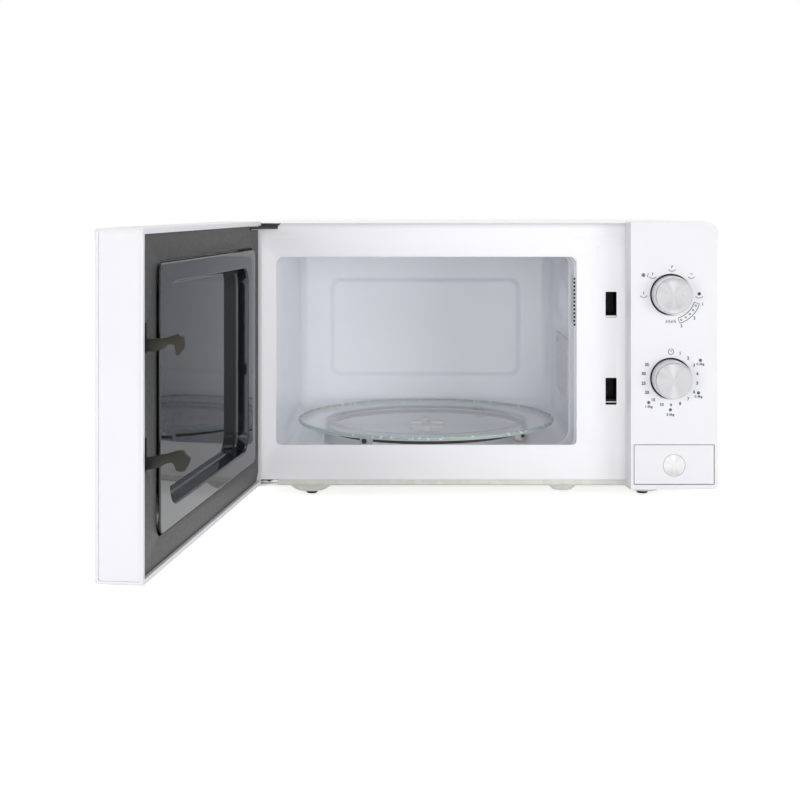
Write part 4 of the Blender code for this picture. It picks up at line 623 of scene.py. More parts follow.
# ---- cabinet ----
HINGE_NOTCH = (9.5, 33.0, 5.2)      # from the frame's side: left and right edge, and depth
FRAME_RIBS = (((-196, 248), (-173, 248)), ((90, 247), (131, 247)), ((113, 231), (113, 240)))
FRAME_DIMPLE = ((112.6, 0, 227), (113.4, 0, 227))
LIP = 0.75                          # radius of the opening's rolled edge
CATCH_EDGES = ((0.2, 1.7), (2.0, 2.8))      # bottom and top, over each slot's lowest level


def make_bracket_ends():
    """The black ends of the hinge brackets: in the frame's top edge, and under its corner."""
    low, high = FACE
    left, right, depth = HINGE_NOTCH
    notch = [(low.x + left + 4, high.z - depth), (low.x + right - 5, high.z - depth),
             (low.x + right, high.z - 0.1), (low.x + left, high.z - 0.1)]
    show("upper_bracket_end", prism("Y", notch, -0.35, 0.0), "oven", "hinge_black")
    leaf = [(low.x + 11, low.z - 0.1), (low.x + 26, low.z - 0.1), (low.x + 22, low.z - 2.2),
            (low.x + 19, low.z - 1.0), (low.x + 11, low.z - 1.0)]
    show("lower_bracket_end", prism("Y", leaf, 0.1, 0.6), "oven", "hinge_black")


def make_front_face():
    """The enamelled front: face with its openings, rolled mouth, pressed ribs and flanges."""
    holes = [outline_of(OPENING, 0, OPEN_CORNER)]
    for bottom, top in SLOT_LEVELS:
        holes.append(rounded(LATCH_X - SLOT_HALF, LATCH_X + SLOT_HALF, bottom, top, 0.6, 3))
    face = plate([outline_of(FACE, 0, 6), *holes], 0, SHEET, 0.3)
    rim = plate([outline_of(FACE, 1.2, 5), outline_of(FACE, 2, 4.2)], SHEET * 0.6, FACE[1].y, 0.1, 1)
    lip = bead(at_depth(outline_of(OPENING, -0.35, OPEN_CORNER), LIP), LIP, closed=True)
    ribs = [flattened(bead(at_depth(line, 0), 1.5), 0.3) for line in FRAME_RIBS]
    dimple = flattened(bead(FRAME_DIMPLE, 2.2), 0.2)
    show("front_face", joined(face, rim, lip, dimple, *ribs), "oven", "frame_enamel_painted_top_shade", ("front_frame",))


def make_catch_edges():
    """The plated edges of the catches, just inside the latch slots."""
    catches = []
    for (bottom, _), (start, end) in zip(SLOT_LEVELS, CATCH_EDGES):
        catches.append(block(LATCH_X - SLOT_HALF + 0.2, LATCH_X + SLOT_HALF - 0.2, 1.2, 4,
                             bottom + start, bottom + end))
    show("catch_edges", joined(*catches), "oven", "zinc_steel")


def flattened(bm, amount):
    """Squash a shape towards the plane y = 0."""
    bmesh.ops.scale(bm, vec=(1, amount, 1), verts=bm.verts)
    return bm


WALL_RIBS = (25.0, 75.5)            # two upright ribs in the right wall, from its mouth
RIB_SHAPE = ((-0.8, 0.0), (0.0, 0.2), (1.5, 1.35), (2.5, 1.6), (4.6, 1.35), (8.4, 0.15), (9.4, 0.0))
BACK_PANEL = ((-161.0, 0, 79.5), (61.0, 0, 195.0))      # pressed into the back wall
BACK_DEPTH = 2.6
BACK_SLOPE = 7.0                    # how far the panel's edge slopes inwards
CAVITY_CORNER = 14.0
CAVITY_FILLET = 13.0                # between the walls and the back


def cavity_loops():
    """Outlines from the mouth to the back wall's pressed panel, as loops of points."""
    stations = [(LINER[0].y, 0.0)]
    for rib in WALL_RIBS:
        stations += [(rib + along_wall, rise) for along_wall, rise in RIB_SHAPE]
    back = LINER[1].y - SHEET
    stations.append((back - CAVITY_FILLET, 0.0))
    loops = []
    for y, rise in stations:
        outline = rounded(CAVITY_LEFT, CAVITY_RIGHT - rise, CAVITY_FLOOR, CAVITY_TOP, CAVITY_CORNER, 8)
        loops.append(at_depth(outline, y))
    for across, rest in quarter(8):
        inset = CAVITY_FILLET * across
        outline = outline_of(CAVITY, inset, max(4.0, CAVITY_CORNER - inset * 0.6), 8)
        loops.append(at_depth(outline, back - CAVITY_FILLET * rest))
    for step in range(9):
        part = step / 8
        outline = outline_of(BACK_PANEL, BACK_SLOPE * part, 12 - 4 * part, 8)
        loops.append(at_depth(outline, back + BACK_DEPTH * eased(part)))
    return loops


def make_cavity():
    """The enamelled cavity: soft corners, two wall ribs and a panel pressed into its back."""
    bm = loft(cavity_loops(), cap_first=False)
    bmesh.ops.reverse_faces(bm, faces=bm.faces)
    wall = ("SOLIDIFY", {"thickness": SHEET * MM, "offset": -1.0})
    show("cavity_shell", bm, "oven", "cavity_enamel", ("cavity_liner",), smooth=50, modifiers=[wall])
    make_cavity_vents()
    make_cavity_dome()


VENT_LEVELS = (163.0, 207.5)        # lowest and highest row
VENT_PITCH = 3.7
VENT_COLUMNS = 6
VENT_COLUMN_PITCH = 5.2
RIB_VENT_Y = 25.8                   # the row on the first rib's slope
FLAT_VENT_Y = 41.0                  # the first row on the flat wall
RIB_SLOPE = Vector((-1, -0.76, 0))
DOME_PLACE = (168.0, 175.0)         # y and z of its middle
DOME_HALF = (76.0, 25.0)            # half its length and height
DOME_RISE = 3.0


def make_cavity_vents():
    """Small round lamp holes in the right wall, drawn as dark discs of painted shade: on its first rib, then
    in staggered rows.
    """
    holes = []
    low, high = VENT_LEVELS
    for row in range(int((high - low) / VENT_PITCH) + 1):
        level = low + row * VENT_PITCH
        inward = 0.15 * (row % 2)
        place = (CAVITY_RIGHT - 0.95 - inward, RIB_VENT_Y + inward, level)
        # painted shade: dark discs on the wall stand for the holes
        holes.append(disc(place, RIB_SLOPE, 1.2, 0.4, 16))
        for column in range(VENT_COLUMNS):
            place = (CAVITY_RIGHT, FLAT_VENT_Y + column * VENT_COLUMN_PITCH,
                     level + VENT_PITCH / 2 * (column % 2))
            holes.append(disc(place, (-1, 0, 0), 0.95, 0.12, 12))
    show("cavity_vent_hole_shades", joined(*holes), "oven", "painted_shade_black")


def make_cavity_dome():
    """A shallow dome pressed into the right wall, above the waveguide's cover."""
    steps = 12
    profile = [(0.0, 0.25), (1.0, 0.25)]
    for step in range(steps + 1):
        part = step / steps
        profile.append((1 - part, -DOME_RISE * eased(part)))
    bm = lathe("X", 0, 0, profile, 64)
    bmesh.ops.scale(bm, vec=(1, *DOME_HALF), verts=bm.verts)
    bmesh.ops.translate(bm, vec=(CAVITY_RIGHT, *DOME_PLACE), verts=bm.verts)
    show("cavity_dome", bm, "oven", "cavity_enamel", smooth=60)


def make_mica():
    low, high = oven_box("waveguide_cover")
    sheet = prism("X", outline_of((low, high), 0, 5, axes="yz"), low.x, high.x)
    screw = disc((low.x - 0.2, high.y - 9, high.z - 8), (-1, 0, 0), 3.2, 1.2, 24)
    show("mica_sheet", sheet, "oven", "mica", ("waveguide_cover",))
    show("mica_screw", screw, "oven", "screw_steel")


PAN_CURL = (3.4, 3.0)               # how far the pan's wall curls under, and from what height
FOOT_NODES = [f"foot_{row}_{side}" for row in ("front", "rear") for side in ("left", "right")]
FEET = [((low.x + high.x) / 2, (low.y + high.y) / 2) for low, high in map(oven_box, FOOT_NODES)]
FOOT_PAD = ((46, 50), (13, 5))      # size, and how far its sides slope, across x and y
BUMP_PAD = ((28, 20), (7.5, 4))
BUMP_X = 80.5
FOOT_PROFILE = ((0, 0.5), (1.8, 0.5), (2.1, 0.0), (4.4, 0.0), (5.0, 0.3), (5.4, 0.9), (5.5, 1.6),
                (5.5, 4.7), (5.2, 5.2), (3.5, 5.2), (3.5, 9.0), (0, 9.0))


def make_pan():
    """The base pan: its walls curl under, and each pad for a foot is pressed down from it."""
    low, high = oven_box("base_pan")
    wall_low = high.z - 7.5
    across, up = PAN_CURL
    stations = [(0.8, high.z), (0.8, high.z - 0.2), (0.0, high.z - 0.2), (0.0, wall_low + up)]
    stations += [(across * inset, wall_low + up * rest) for inset, rest in quarter(6)]
    loops = []
    for inset, z in stations:
        loops.append([(x, y, z) for x, y in outline_of((low, high), inset, 5, axes="xy")])
    pads = [pressed_pad(x, y, *FOOT_PAD, wall_low, low.z) for x, y in FEET]
    pads.append(pressed_pad(BUMP_X, low.y + 12.5, *BUMP_PAD, wall_low, wall_low - 5.0))
    show("pan_shell", joined(loft(loops), *pads), "oven", "pan_steel", ("base_pan",), smooth=50)


def pressed_pad(x, y, size, slope, top, bottom):
    """A stamped pad whose sides fall in an S from the pan to its flat underside."""
    loops = []
    corner = min(size[0] / 2 - slope[0], size[1] / 2 - slope[1])
    for step in range(11):
        part = step / 10
        half_x = size[0] / 2 + 1 - slope[0] * part
        half_y = size[1] / 2 + 1 - slope[1] * part
        level = top + (bottom - top) * eased(part)
        outline = rounded(x - half_x, x + half_x, y - half_y, y + half_y, corner)
        loops.append([(a, b, level) for a, b in outline])
    loops.insert(0, [(a, b, top + 0.4) for a, b, _ in loops[0]])
    return loft(loops)


def make_feet():
    for name, (x, y) in zip(FOOT_NODES, FEET):
        show(f"{name}_turned", lathe("Z", x, y, FOOT_PROFILE, 48), "oven", "rubber", (name,))


def make_cover():
    """Outer cover and rear panel with eased edges, and the screws that hold them."""
    refined("outer_cover", 0.3)
    refined("rear_panel", 0.3)
    refined("cord_gland", 0.4)
    back = oven_box("rear_panel")[1].y
    screws = [pan_screw((x, back, z)) for x in (-206, 206) for z in (32, 140, 248)]
    screws += [pan_screw((x, back, 253)) for x in (-90, 90)]
    show("cover_screws", joined(*screws), "oven", "screw_steel")


def pan_screw(place):
    """A round-headed screw with a cross in it, facing the back."""
    profile = [(0, -0.2), (3.4, -0.2), (3.4, 0.3), (3.1, 1.0), (2.3, 1.6), (1.2, 1.9), (0, 2.0)]
    head = lathe("Z", 0, 0, profile, 32)
    cross = [block(-2.0, 2.0, -0.35, 0.35, 1.0, 3), block(-0.35, 0.35, -2.0, 2.0, 1.0, 3)]
    return turned_to(cut(head, cross), place, (0, 1, 0))


# ---- control panel ----
DIAL_OPENING = ((0, -1), (19.9, -1), (19.7, 0), (19.3, 0.25), (19.1, 0.9), (19.0, 8), (0, 8))
DIAL_WELL_SHADE = ((17.8, 1.4), (18.95, 1.4), (18.95, 4), (17.8, 4))
PANEL_WALL = 2.5
PANEL_EASE = 4.2                    # the panel's soft front edges; its left one has less
BUTTON_GAP = 0.55


def make_panel():
    """The panel's hollow front, with soft front edges and flared openings for the dials, and a dark ring of
    painted shade in each dial's gap.
    """
    low, high = PANEL
    bm = prism("Y", outline_of(PANEL, 0, (1.5, 4, 10, 2), 10), low.y, high.y)
    bm = weighted_bevel(bm, in_plane("Y", low.y), PANEL_EASE,
                        lambda edge: 0.4 if edge_middle(edge).x < low.x + 1 else 1.0)
    inside = outline_of(PANEL, PANEL_WALL, (1, 2, 7.5, 1))
    tools = [prism("Y", inside, low.y + PANEL_WALL + 2, high.y + 1)]
    wells = []
    for level in DIAL_Z.values():
        tools.append(lathe("Y", DIAL_X, level, DIAL_OPENING, start=low.y))
        # painted shade: a dark ring in the gap round each dial
        wells.append(lathe("Y", DIAL_X, level, DIAL_WELL_SHADE, start=low.y))
    tools.append(prism("Y", outline_of(BUTTON_KEY, -BUTTON_GAP, 1.2), low.y - 1, low.y + 8))
    show("panel_front", cut(bm, tools), "oven", "white_plastic", ("control_panel",), smooth=30)
    show("dial_well_shades", joined(*wells), "oven", "painted_shade_black")


def edge_middle(edge):
    return (edge.verts[0].co + edge.verts[1].co) / 2


DIAL_CAP = ((0, 0.30), (6, 0.26), (12, 0.15), (15.4, 0), (16.2, 0.12), (16.5, 0.55), (16.5, 1.9),
            (0, 1.9))
DIAL_RIM = ((0, 2.0), (16.1, 2.0), (16.9, 1.4), (17.25, 1.5), (17.45, 2.2), (17.6, 6))
DIAL_FOOT = ((17.6, 3.0), (6.0, 3.0), (6.0, 12.0), (0, 12.0))


def make_dials():
    """Two dials: a plastic body from its front rim to the foot behind the panel, and a metal cap."""
    for name, level in DIAL_Z.items():
        front = DIALS[name][0].y
        body = [(r, front + t) for r, t in DIAL_RIM] + [(r, PANEL_FACE + t) for r, t in DIAL_FOOT]
        show(f"{name}_dial_body", lathe("Y", DIAL_X, level, body), f"{name}_dial", "white_plastic",
             (f"{name}_knob",))
        cap = lathe("Y", DIAL_X, level, DIAL_CAP, 128, front)
        obj = show(f"{name}_dial_disc", cap, f"{name}_dial", "brushed_metal", (f"{name}_knob_cap",))
        ring_map(obj, world(DIAL_X, front, level))


BUTTON_LEFT, BUTTON_RIGHT = PANEL[0].x + 3.1, PANEL[1].x - 3.7
BUTTON_KEY = ((BUTTON_LEFT, 0, BUTTON[0].z), (BUTTON_RIGHT, 0, BUTTON[1].z))
BUTTON_WALL = 2.0
BUTTON_DEPTH = 17.0
BADGE_BOX = oven_box("button_badge")
BADGE_X = (BADGE_BOX[0].x + BADGE_BOX[1].x) / 2
BADGE_Z = (BADGE_BOX[0].z + BADGE_BOX[1].z) / 2
BADGE_SEAT = 10.22
BADGE_PROFILE = ((0, 0.35), (8.9, 0.25), (9.4, 0.05), (9.9, 0.1), (10.1, 0.45), (10.1, 1.35), (0, 1.35))


def make_button():
    """The door button: a hollow key with a badge let into its face, and the arm behind it."""
    bottom, top = BUTTON[0].z, BUTTON[1].z
    face, wall = PANEL_FACE, BUTTON_WALL
    bm = prism("Y", outline_of(BUTTON_KEY, 0, 0.9), face, face + BUTTON_DEPTH)
    round_off(bm, in_plane("Y", face), 0.7, 4)
    hollow = block(BUTTON_LEFT + wall, BUTTON_RIGHT - wall, face + 2.5, face + BUTTON_DEPTH + 1,
                   bottom + wall, top - wall)
    seat = rod("Y", BADGE_X, BADGE_Z, BADGE_SEAT, face - 1, face + 1.4, 96)
    shell = cut(bm, [hollow, seat])
    arm_low, arm_high = bottom + 13, bottom + 29.4
    stem = block(BUTTON_LEFT + wall, BUTTON_LEFT + 14, face + 1, 20, arm_low, arm_high)
    ramp = [(8, arm_low), (28, arm_low), (28, arm_high - 10), (14, arm_high + 1.2), (8, arm_high + 1.2)]
    arm = prism("X", ramp, BUTTON[0].x, BUTTON_LEFT + 13)
    show("button_key", joined(shell, stem, arm), "button", "white_plastic", ("release_button",), smooth=30)
    badge = show("badge_disc", lathe("Y", BADGE_X, BADGE_Z, BADGE_PROFILE, 128, face), "button",
                 "badge_metal", ("button_badge",))
    ring_map(badge, world(BADGE_X, face, BADGE_Z))


# ---- printing on the panel ----
PRINT_HEIGHT = 0.05
PRINT_SPREAD = 0.2                  # how much wider the ink stands than a drawn line
DIGIT = 3.9                         # size of the dials' numbers


def lettering(text, x, z, size, spacing=1.0):
    """Upright printed text, centred on a place on the panel's face."""
    curve = bpy.data.curves.new("text", "FONT")
    curve.body = text
    curve.size = size
    curve.align_x = "CENTER"
    curve.align_y = "CENTER"
    curve.space_character = spacing
    curve.extrude = PRINT_HEIGHT
    curve.offset = 0.14 * size / DIGIT
    curve.resolution_u = 4
    return stood_up(shape_of(placed("text", curve)), (x, PANEL_FACE, z))


def stroke(points, width, closed=False):
    """A printed line through (x, z) points on the panel's face."""
    weight = width + PRINT_SPREAD
    line = bead([(x, 0, z) for x, z in points], weight / 2, closed, 2)
    flattened(line, 2 * PRINT_HEIGHT / weight)
    bmesh.ops.translate(line, vec=(0, PANEL_FACE, 0), verts=line.verts)
    return line


def on_circle(x, z, radius, degrees):
    """A point on a circle; degrees go clockwise from the top, as on a dial."""
    turn = math.radians(degrees)
    return x + radius * math.sin(turn), z + radius * math.cos(turn)


def arc(x, z, radius, start, end, steps):
    return [on_circle(x, z, radius, start + (end - start) * step / steps) for step in range(steps + 1)]


def dish(x, z, width):
    """A shallow bowl."""
    radius = width * 0.62
    return stroke(arc(x, z + radius, radius, 126, 234, 12), 0.34)


def snowflake(x, z, size):
    bars = []
    for turn in (0, 60, 120):
        t = math.radians(turn)
        reach = Vector((math.sin(t), math.cos(t))) * size
        bars.append(stroke([(x - reach.x, z - reach.y), (x + reach.x, z + reach.y)], 0.36))
    for turn in range(0, 360, 60):
        tip = on_circle(x, z, size * 0.62, turn)
        ends = [on_circle(x, z, size * 0.98, turn + side) for side in (-26, 26)]
        bars.append(stroke([ends[0], tip, ends[1]], 0.26))
    return bars


def flame(x, z, size):
    return stroke([(x - size * 0.5, z - size), (x - size * 0.1, z), (x - size * 0.5, z + size * 0.6),
                   (x + size * 0.5, z + size), (x + size * 0.2, z + size * 0.1)], 0.42)


MINUTES = ("1", "2", "3", "4", "5", "6", "7", "8", "9", "10", "15", "20", "25", "30", "35")
MINUTE_STEP = 20                    # degrees
WEIGHTS = (                         # text, how far right, and how far up the text and its snowflake are
    ("0.2kg", 27.2, 13.4, 16.9), ("0.4kg", 25.4, -16.6, -13.2),
    ("0.6kg", -0.5, -33.2, -28.8), ("1.0kg", -20.5, -25.9, -22.1),
)


def make_timer_scale():
    """Clock sign at the top, minutes 1 to 35 and four defrosting weights outside them."""
    prints = []
    for step, text in enumerate(MINUTES, 1):
        reach = 24.7 if len(text) == 1 else 25.6
        x, z = on_circle(DIAL_X, DIAL_Z["timer"], reach, MINUTE_STEP * step)
        prints.append(lettering(text, x, z, DIGIT))
    x, z = DIAL_X, DIAL_Z["timer"] + 24.9
    prints.append(stroke(arc(x, z, 2.5, 0, 345, 28), 0.42))
    prints.append(stroke([(x, z + 1.5), (x, z), (x + 1.1, z + 0.7)], 0.36))
    for text, right, text_up, flake_up in WEIGHTS:
        prints.append(lettering(text, DIAL_X + right, DIAL_Z["timer"] + text_up, 3.1, 1.08))
        prints += snowflake(DIAL_X + right, DIAL_Z["timer"] + flake_up, 1.5)
    show("timer_scale", joined(*prints), "oven", "label_ink", smooth=60)


POWER_SIGNS = (                     # how far right and up each bowl is, and the sign over it
    (-25.1, -2.6, "bar"), (-16.9, 15.0, "flame"), (1.0, 21.6, "flame"), (18.9, 15.0, "wave"),
    (26.1, -3.2, "sun"),
)
BAND = (22.6, 27.7, 108, 163)       # inner and outer radius, first and last turn
BAND_SPOTS = [114 + 11 * step for step in range(5)]
BAND_NUMBERS = (("1", 107), ("2", 135), ("3", 161.5))


def power_sign(kind, x, z):
    """The small sign over a bowl."""
    if kind == "bar":
        return [stroke([(x, z - 1.2), (x, z + 1.2)], 0.5)]
    if kind == "flame":
        return [flame(x, z, 1.3)]
    if kind == "wave":
        wave = [(x - 1.5, z - 0.3), (x - 0.5, z + 0.5), (x + 0.5, z - 0.3), (x + 1.5, z + 0.5)]
        return [stroke(wave, 0.4)]
    return [stroke(arc(x, z, 0.8, 0, 340, 12), 0.5)] + snowflake(x, z, 1.6)


def make_function_scale():
    """Bowls for the oven's powers, a band from 1 to 3 for the mixed settings, and a grill sign."""
    x, z = DIAL_X, DIAL_Z["function"]
    prints = []
    for right, up, kind in POWER_SIGNS:
        prints.append(dish(x + right, z + up, 6.0 if kind == "wave" else 6.8))
        prints += power_sign(kind, x + right, z + up + 4.0)
    prints += snowflake(x - 25.4, z + 18.0, 1.8)
    prints.append(stroke([(x - 21.9, z + 16.2), (x - 20.8, z + 19.8)], 0.4))
    inner, outer, first, last = BAND
    prints.append(stroke(arc(x, z, outer, first, last, 30) + arc(x, z, inner, last, first, 30), 0.45,
                         closed=True))
    for turn in BAND_SPOTS:
        corners = ((-0.9, 0), (0, 2.2), (0.9, 0), (0, -2.2))
        spot = [on_circle(x, z, 25.1 + out, turn + side) for out, side in corners]
        prints.append(stroke(spot, 0.45, closed=True))
    for text, turn in BAND_NUMBERS:
        prints.append(lettering(text, *on_circle(x, z, 30.6, turn), DIGIT * 0.95))
    for middle in (-2.7, 2.3):
        teeth = [(x + middle + (step - 3) * 0.62, z - 24.6 + (1.3 if step % 2 else -1.3))
                 for step in range(7)]
        prints.append(stroke(teeth, 0.75))
    show("function_scale", joined(*prints), "oven", "label_ink", smooth=60)


# ---- door, written closed ----
DOOR_WALL = 4.0
DOOR_FRONT = 3.0                    # thickness of its front
WINDOW_MARGIN = 4.0                 # the window is this much smaller than the oven's opening
POCKET_DEPTH = 1.1                  # of the shallow panel in the door's free end
HINGE_BOSS = 4.6                    # radius
HINGE_ARM = 4.0
SPRING_LEDGE = (222.0, 225.0)       # bottom and top of the ledge over the latch's spring
CHOKE = door_box("choke_cover")
TUB = door_box("door_inner_panel")
TUB_MOUTH = ((TUB[0].x + 27.5, 0, TUB[0].z + 16.0), (TUB[1].x - 24.3, 0, TUB[1].z - 15.5))
TUB_DEPTH = 11.5
TUB_RIM = 1.6                       # fillet from the flange into the tub
TUB_FILLET = 2.4                    # fillet from the tub's wall to its floor
TUB_TAPER = 0.9
FLANGE_EDGE = ((0.0, 1.5), (0.0, 0.75), (0.12, 0.45), (0.38, 0.14), (0.75, 0.0), (1.3, 0.0))


def make_door_shell():
    """The white door: rounded edges, a hollow back, the window and a pocket in its free end."""
    low, high = DOOR
    wall = DOOR_WALL
    bm = prism("Y", outline_of(DOOR, 0, 3.0, 8), low.y, high.y)
    round_off(bm, in_plane("Y", low.y), 2.2, 5)
    round_off(bm, in_plane("Y", high.y), 0.5, 2)
    hollow = prism("Y", outline_of(DOOR, wall, 0.8, 4), low.y + DOOR_FRONT, high.y + 1)
    window = prism("Y", outline_of(OPENING, WINDOW_MARGIN, 8, 10), low.y - 1, low.y + DOOR_FRONT + 1)
    pocket = prism("X", rounded(low.y + 3, high.y - 1.5, low.z + 3, high.z - 3, 1.2, 5),
                   high.x - POCKET_DEPTH, high.x + 1)
    edge = 3.2
    corner = prism("Z", [(low.x - 1, high.y - edge - 1), (low.x + edge + 1, high.y + 1),
                         (low.x - 1, high.y + 1)], low.z - 1, high.z + 1)
    arm_low = oven_box("upper_hinge")[1].z - HINGE_ARM
    arm_slot = block(low.x - 1, low.x + wall + 1, HINGE.y - 8, high.y + 1, arm_low, high.z - wall - 0.01)
    shell = cut(bm, [hollow, window, pocket, corner, arm_slot])
    bosses = [rod("Z", HINGE.x + 1.2, HINGE.y, HINGE_BOSS, bottom, top, 32)
              for bottom, top in ((low.z + 2, low.z + wall + 12), (arm_low - 18, arm_low - 6))]
    ledge = block(LATCH_X - 6, high.x - 2, CHOKE[0].y - 12, CHOKE[0].y - 0.3, *SPRING_LEDGE)
    show("door_shell", joined(shell, *bosses, ledge), "door", "door_plastic", ("door_frame",),
         door=True, smooth=30)


def make_choke():
    """The dark cover round the door's inner panel, with its slots and a fine groove drawn as a dark strip of
    painted shade.
    """
    low, high = CHOKE
    notch_x, notch_z = DOOR[0].x + 36, oven_box("upper_hinge")[1].z - HINGE_ARM
    outline = [(low.x + 8, low.z), (high.x, low.z), (high.x, high.z), (notch_x, high.z),
               (notch_x, notch_z), (low.x, notch_z), (low.x, low.z + 8)]
    holes = [outline_of(TUB, -1.8, 9, 8)]
    for (bottom, top), extra in zip(SLOT_LEVELS, (0.6, 1.8)):
        holes.append(rounded(LATCH_X - 4.5, LATCH_X + 4.5, bottom + 3.6, top + extra, 0.5, 2))
    face = high.y - 0.6
    cover = plate([outline, *holes], low.y - 0.6, face, 0.35)
    line_x = high.x - 5.2
    # painted shade: a dark strip on the face stands for the groove
    groove = block(line_x, line_x + 0.7, face - 0.01, face + 0.02, low.z + 1.5, high.z - 1.5)
    show("choke_plate", cover, "door", "choke_plastic", ("choke_cover",), door=True)
    show("choke_groove_shade", groove, "door", "painted_shade_black", door=True)


def flange_loop(inset, y):
    """The inner panel's outer edge, moved inwards."""
    return at_depth(outline_of(TUB, inset, 7.0 - inset * 0.5, 10), y)


def tub_loop(inset, y):
    """The tub's edge, moved inwards."""
    return at_depth(outline_of(TUB_MOUTH, inset, 16.0 - inset * 0.6, 10), y)


def make_inner_panel():
    """The glossy inner panel: bevelled edge, flat flange and a tub with filleted rim and floor."""
    face = TUB[1].y
    floor = face - TUB_DEPTH
    loops = [flange_loop(inset, face - drop) for inset, drop in FLANGE_EDGE]
    loops += [tub_loop(-TUB_RIM - 0.6, face), tub_loop(-TUB_RIM, face)]
    loops += [tub_loop(-TUB_RIM * rest, face - TUB_RIM * across) for across, rest in quarter(6)]
    loops.append(tub_loop(TUB_TAPER, floor + TUB_FILLET))
    loops += [tub_loop(TUB_TAPER + TUB_FILLET * across, floor + TUB_FILLET * rest)
              for across, rest in quarter(6)]
    loops.append(tub_loop(TUB_TAPER + TUB_FILLET + 0.6, floor))
    bm = loft(loops, cap_first=False)
    if sum((face.normal.y for face in bm.faces if abs(face.normal.y) > 0.99), 0.0) < 0:
        bmesh.ops.reverse_faces(bm, faces=bm.faces)
    wall = ("SOLIDIFY", {"thickness": 1.0 * MM, "offset": -1.0})
    show("inner_panel_shell", bm, "door", "gloss_dark", ("door_inner_panel",), door=True, modifiers=[wall])


HOOKS = {       # side views as (reach from the door's inner face, height from the arm's middle)
    "upper": ((0, 4.0), (7, 4.3), (10.3, 4.5), (14, 5.4), (16.3, 6.2), (19, 6.9), (21.8, 8.0),
              (23.2, 6.6), (25.5, 6.0), (26.2, 1.5), (26.2, -1.9), (25, -3.7), (22, -7.2),
              (20.2, -6.7), (19, 0.3), (15.3, 0.5), (13.5, -0.8), (10.3, -3.2), (4.7, -4.5), (0, -4.7)),
    "lower": ((0, 4.1), (7.7, 5.6), (13.8, 6.8), (20, 8.9), (25.2, 9.4), (27.5, 6.3), (30.1, 4.4),
              (30.2, 2.2), (29.4, -0.4), (26.6, -4.7), (23.8, -5.6), (20.4, -4.7), (19.3, -2.3),
              (18.6, -0.4), (17.1, 0.6), (15.3, 0.8), (13.8, 0.3), (7.7, -2.8), (0, -4.4)),
}


def make_hooks():
    """Two hooks on one bar, each a moulded arm with a head that points down."""
    low, high = door_box("latch_hooks")
    root = CHOKE[0].y - 5.3
    bar = block(LATCH_X - 4, LATCH_X + 4, root, root + 5, low.z, high.z)
    shapes = [round_off(bar, lambda edge: True, 0.5, 2)]
    for level, outline in zip(HOOK_LEVELS, HOOKS.values()):
        points = [(root + 1, level + outline[0][1])]
        points += [(DOOR[1].y + reach, level + rise) for reach, rise in outline]
        points.append((root + 1, level + outline[-1][1]))
        hook = prism("X", points, LATCH_X - 2.5, LATCH_X + 1.5)
        shapes.append(round_off(hook, across_x, 0.45, 2))
    show("hooks_moulded", joined(*shapes), "latch", "dark_plastic", ("latch_hooks",), door=True, smooth=50)


def across_x(edge):
    """Chooses the edges of a hook's side faces."""
    return abs(edge.verts[0].co.x - edge.verts[1].co.x) < 0.01


# ---- turntable ----
PLATE_SIDES = 192
PLATE_FLAT = 93.0                   # radius of its lowered middle
PLATE_MIDDLE = 3.6                  # thickness there
ROLLER = oven_box("roller_1")
LUG = (5.5, 21.0, 5.0)              # inner and outer reach, and half its width
LUG_TURNS = (90, 210, 330)
ROLLER_TURNS = (-122, -32, 58, 148)
RING_PROFILE = ((106, -1.2), (105.5, -1.7), (101.5, -1.7), (101, -1.2), (101, 1.2), (101.5, 1.7),
                (105.5, 1.7), (106, 1.2))
AXLE_PROFILE = ((0, 104), (1.6, 104), (1.6, 114.3), (2.6, 114.3), (2.6, 115.6), (2.2, 116), (0, 116))
WHEEL_PROFILE = ((1.9, 108), (1.9, 114), (2.6, 114), (5.5, 113.8), (6.2, 113.4), (6.5, 112.7),
                 (6.5, 109.3), (6.2, 108.6), (5.5, 108.2), (2.6, 108))


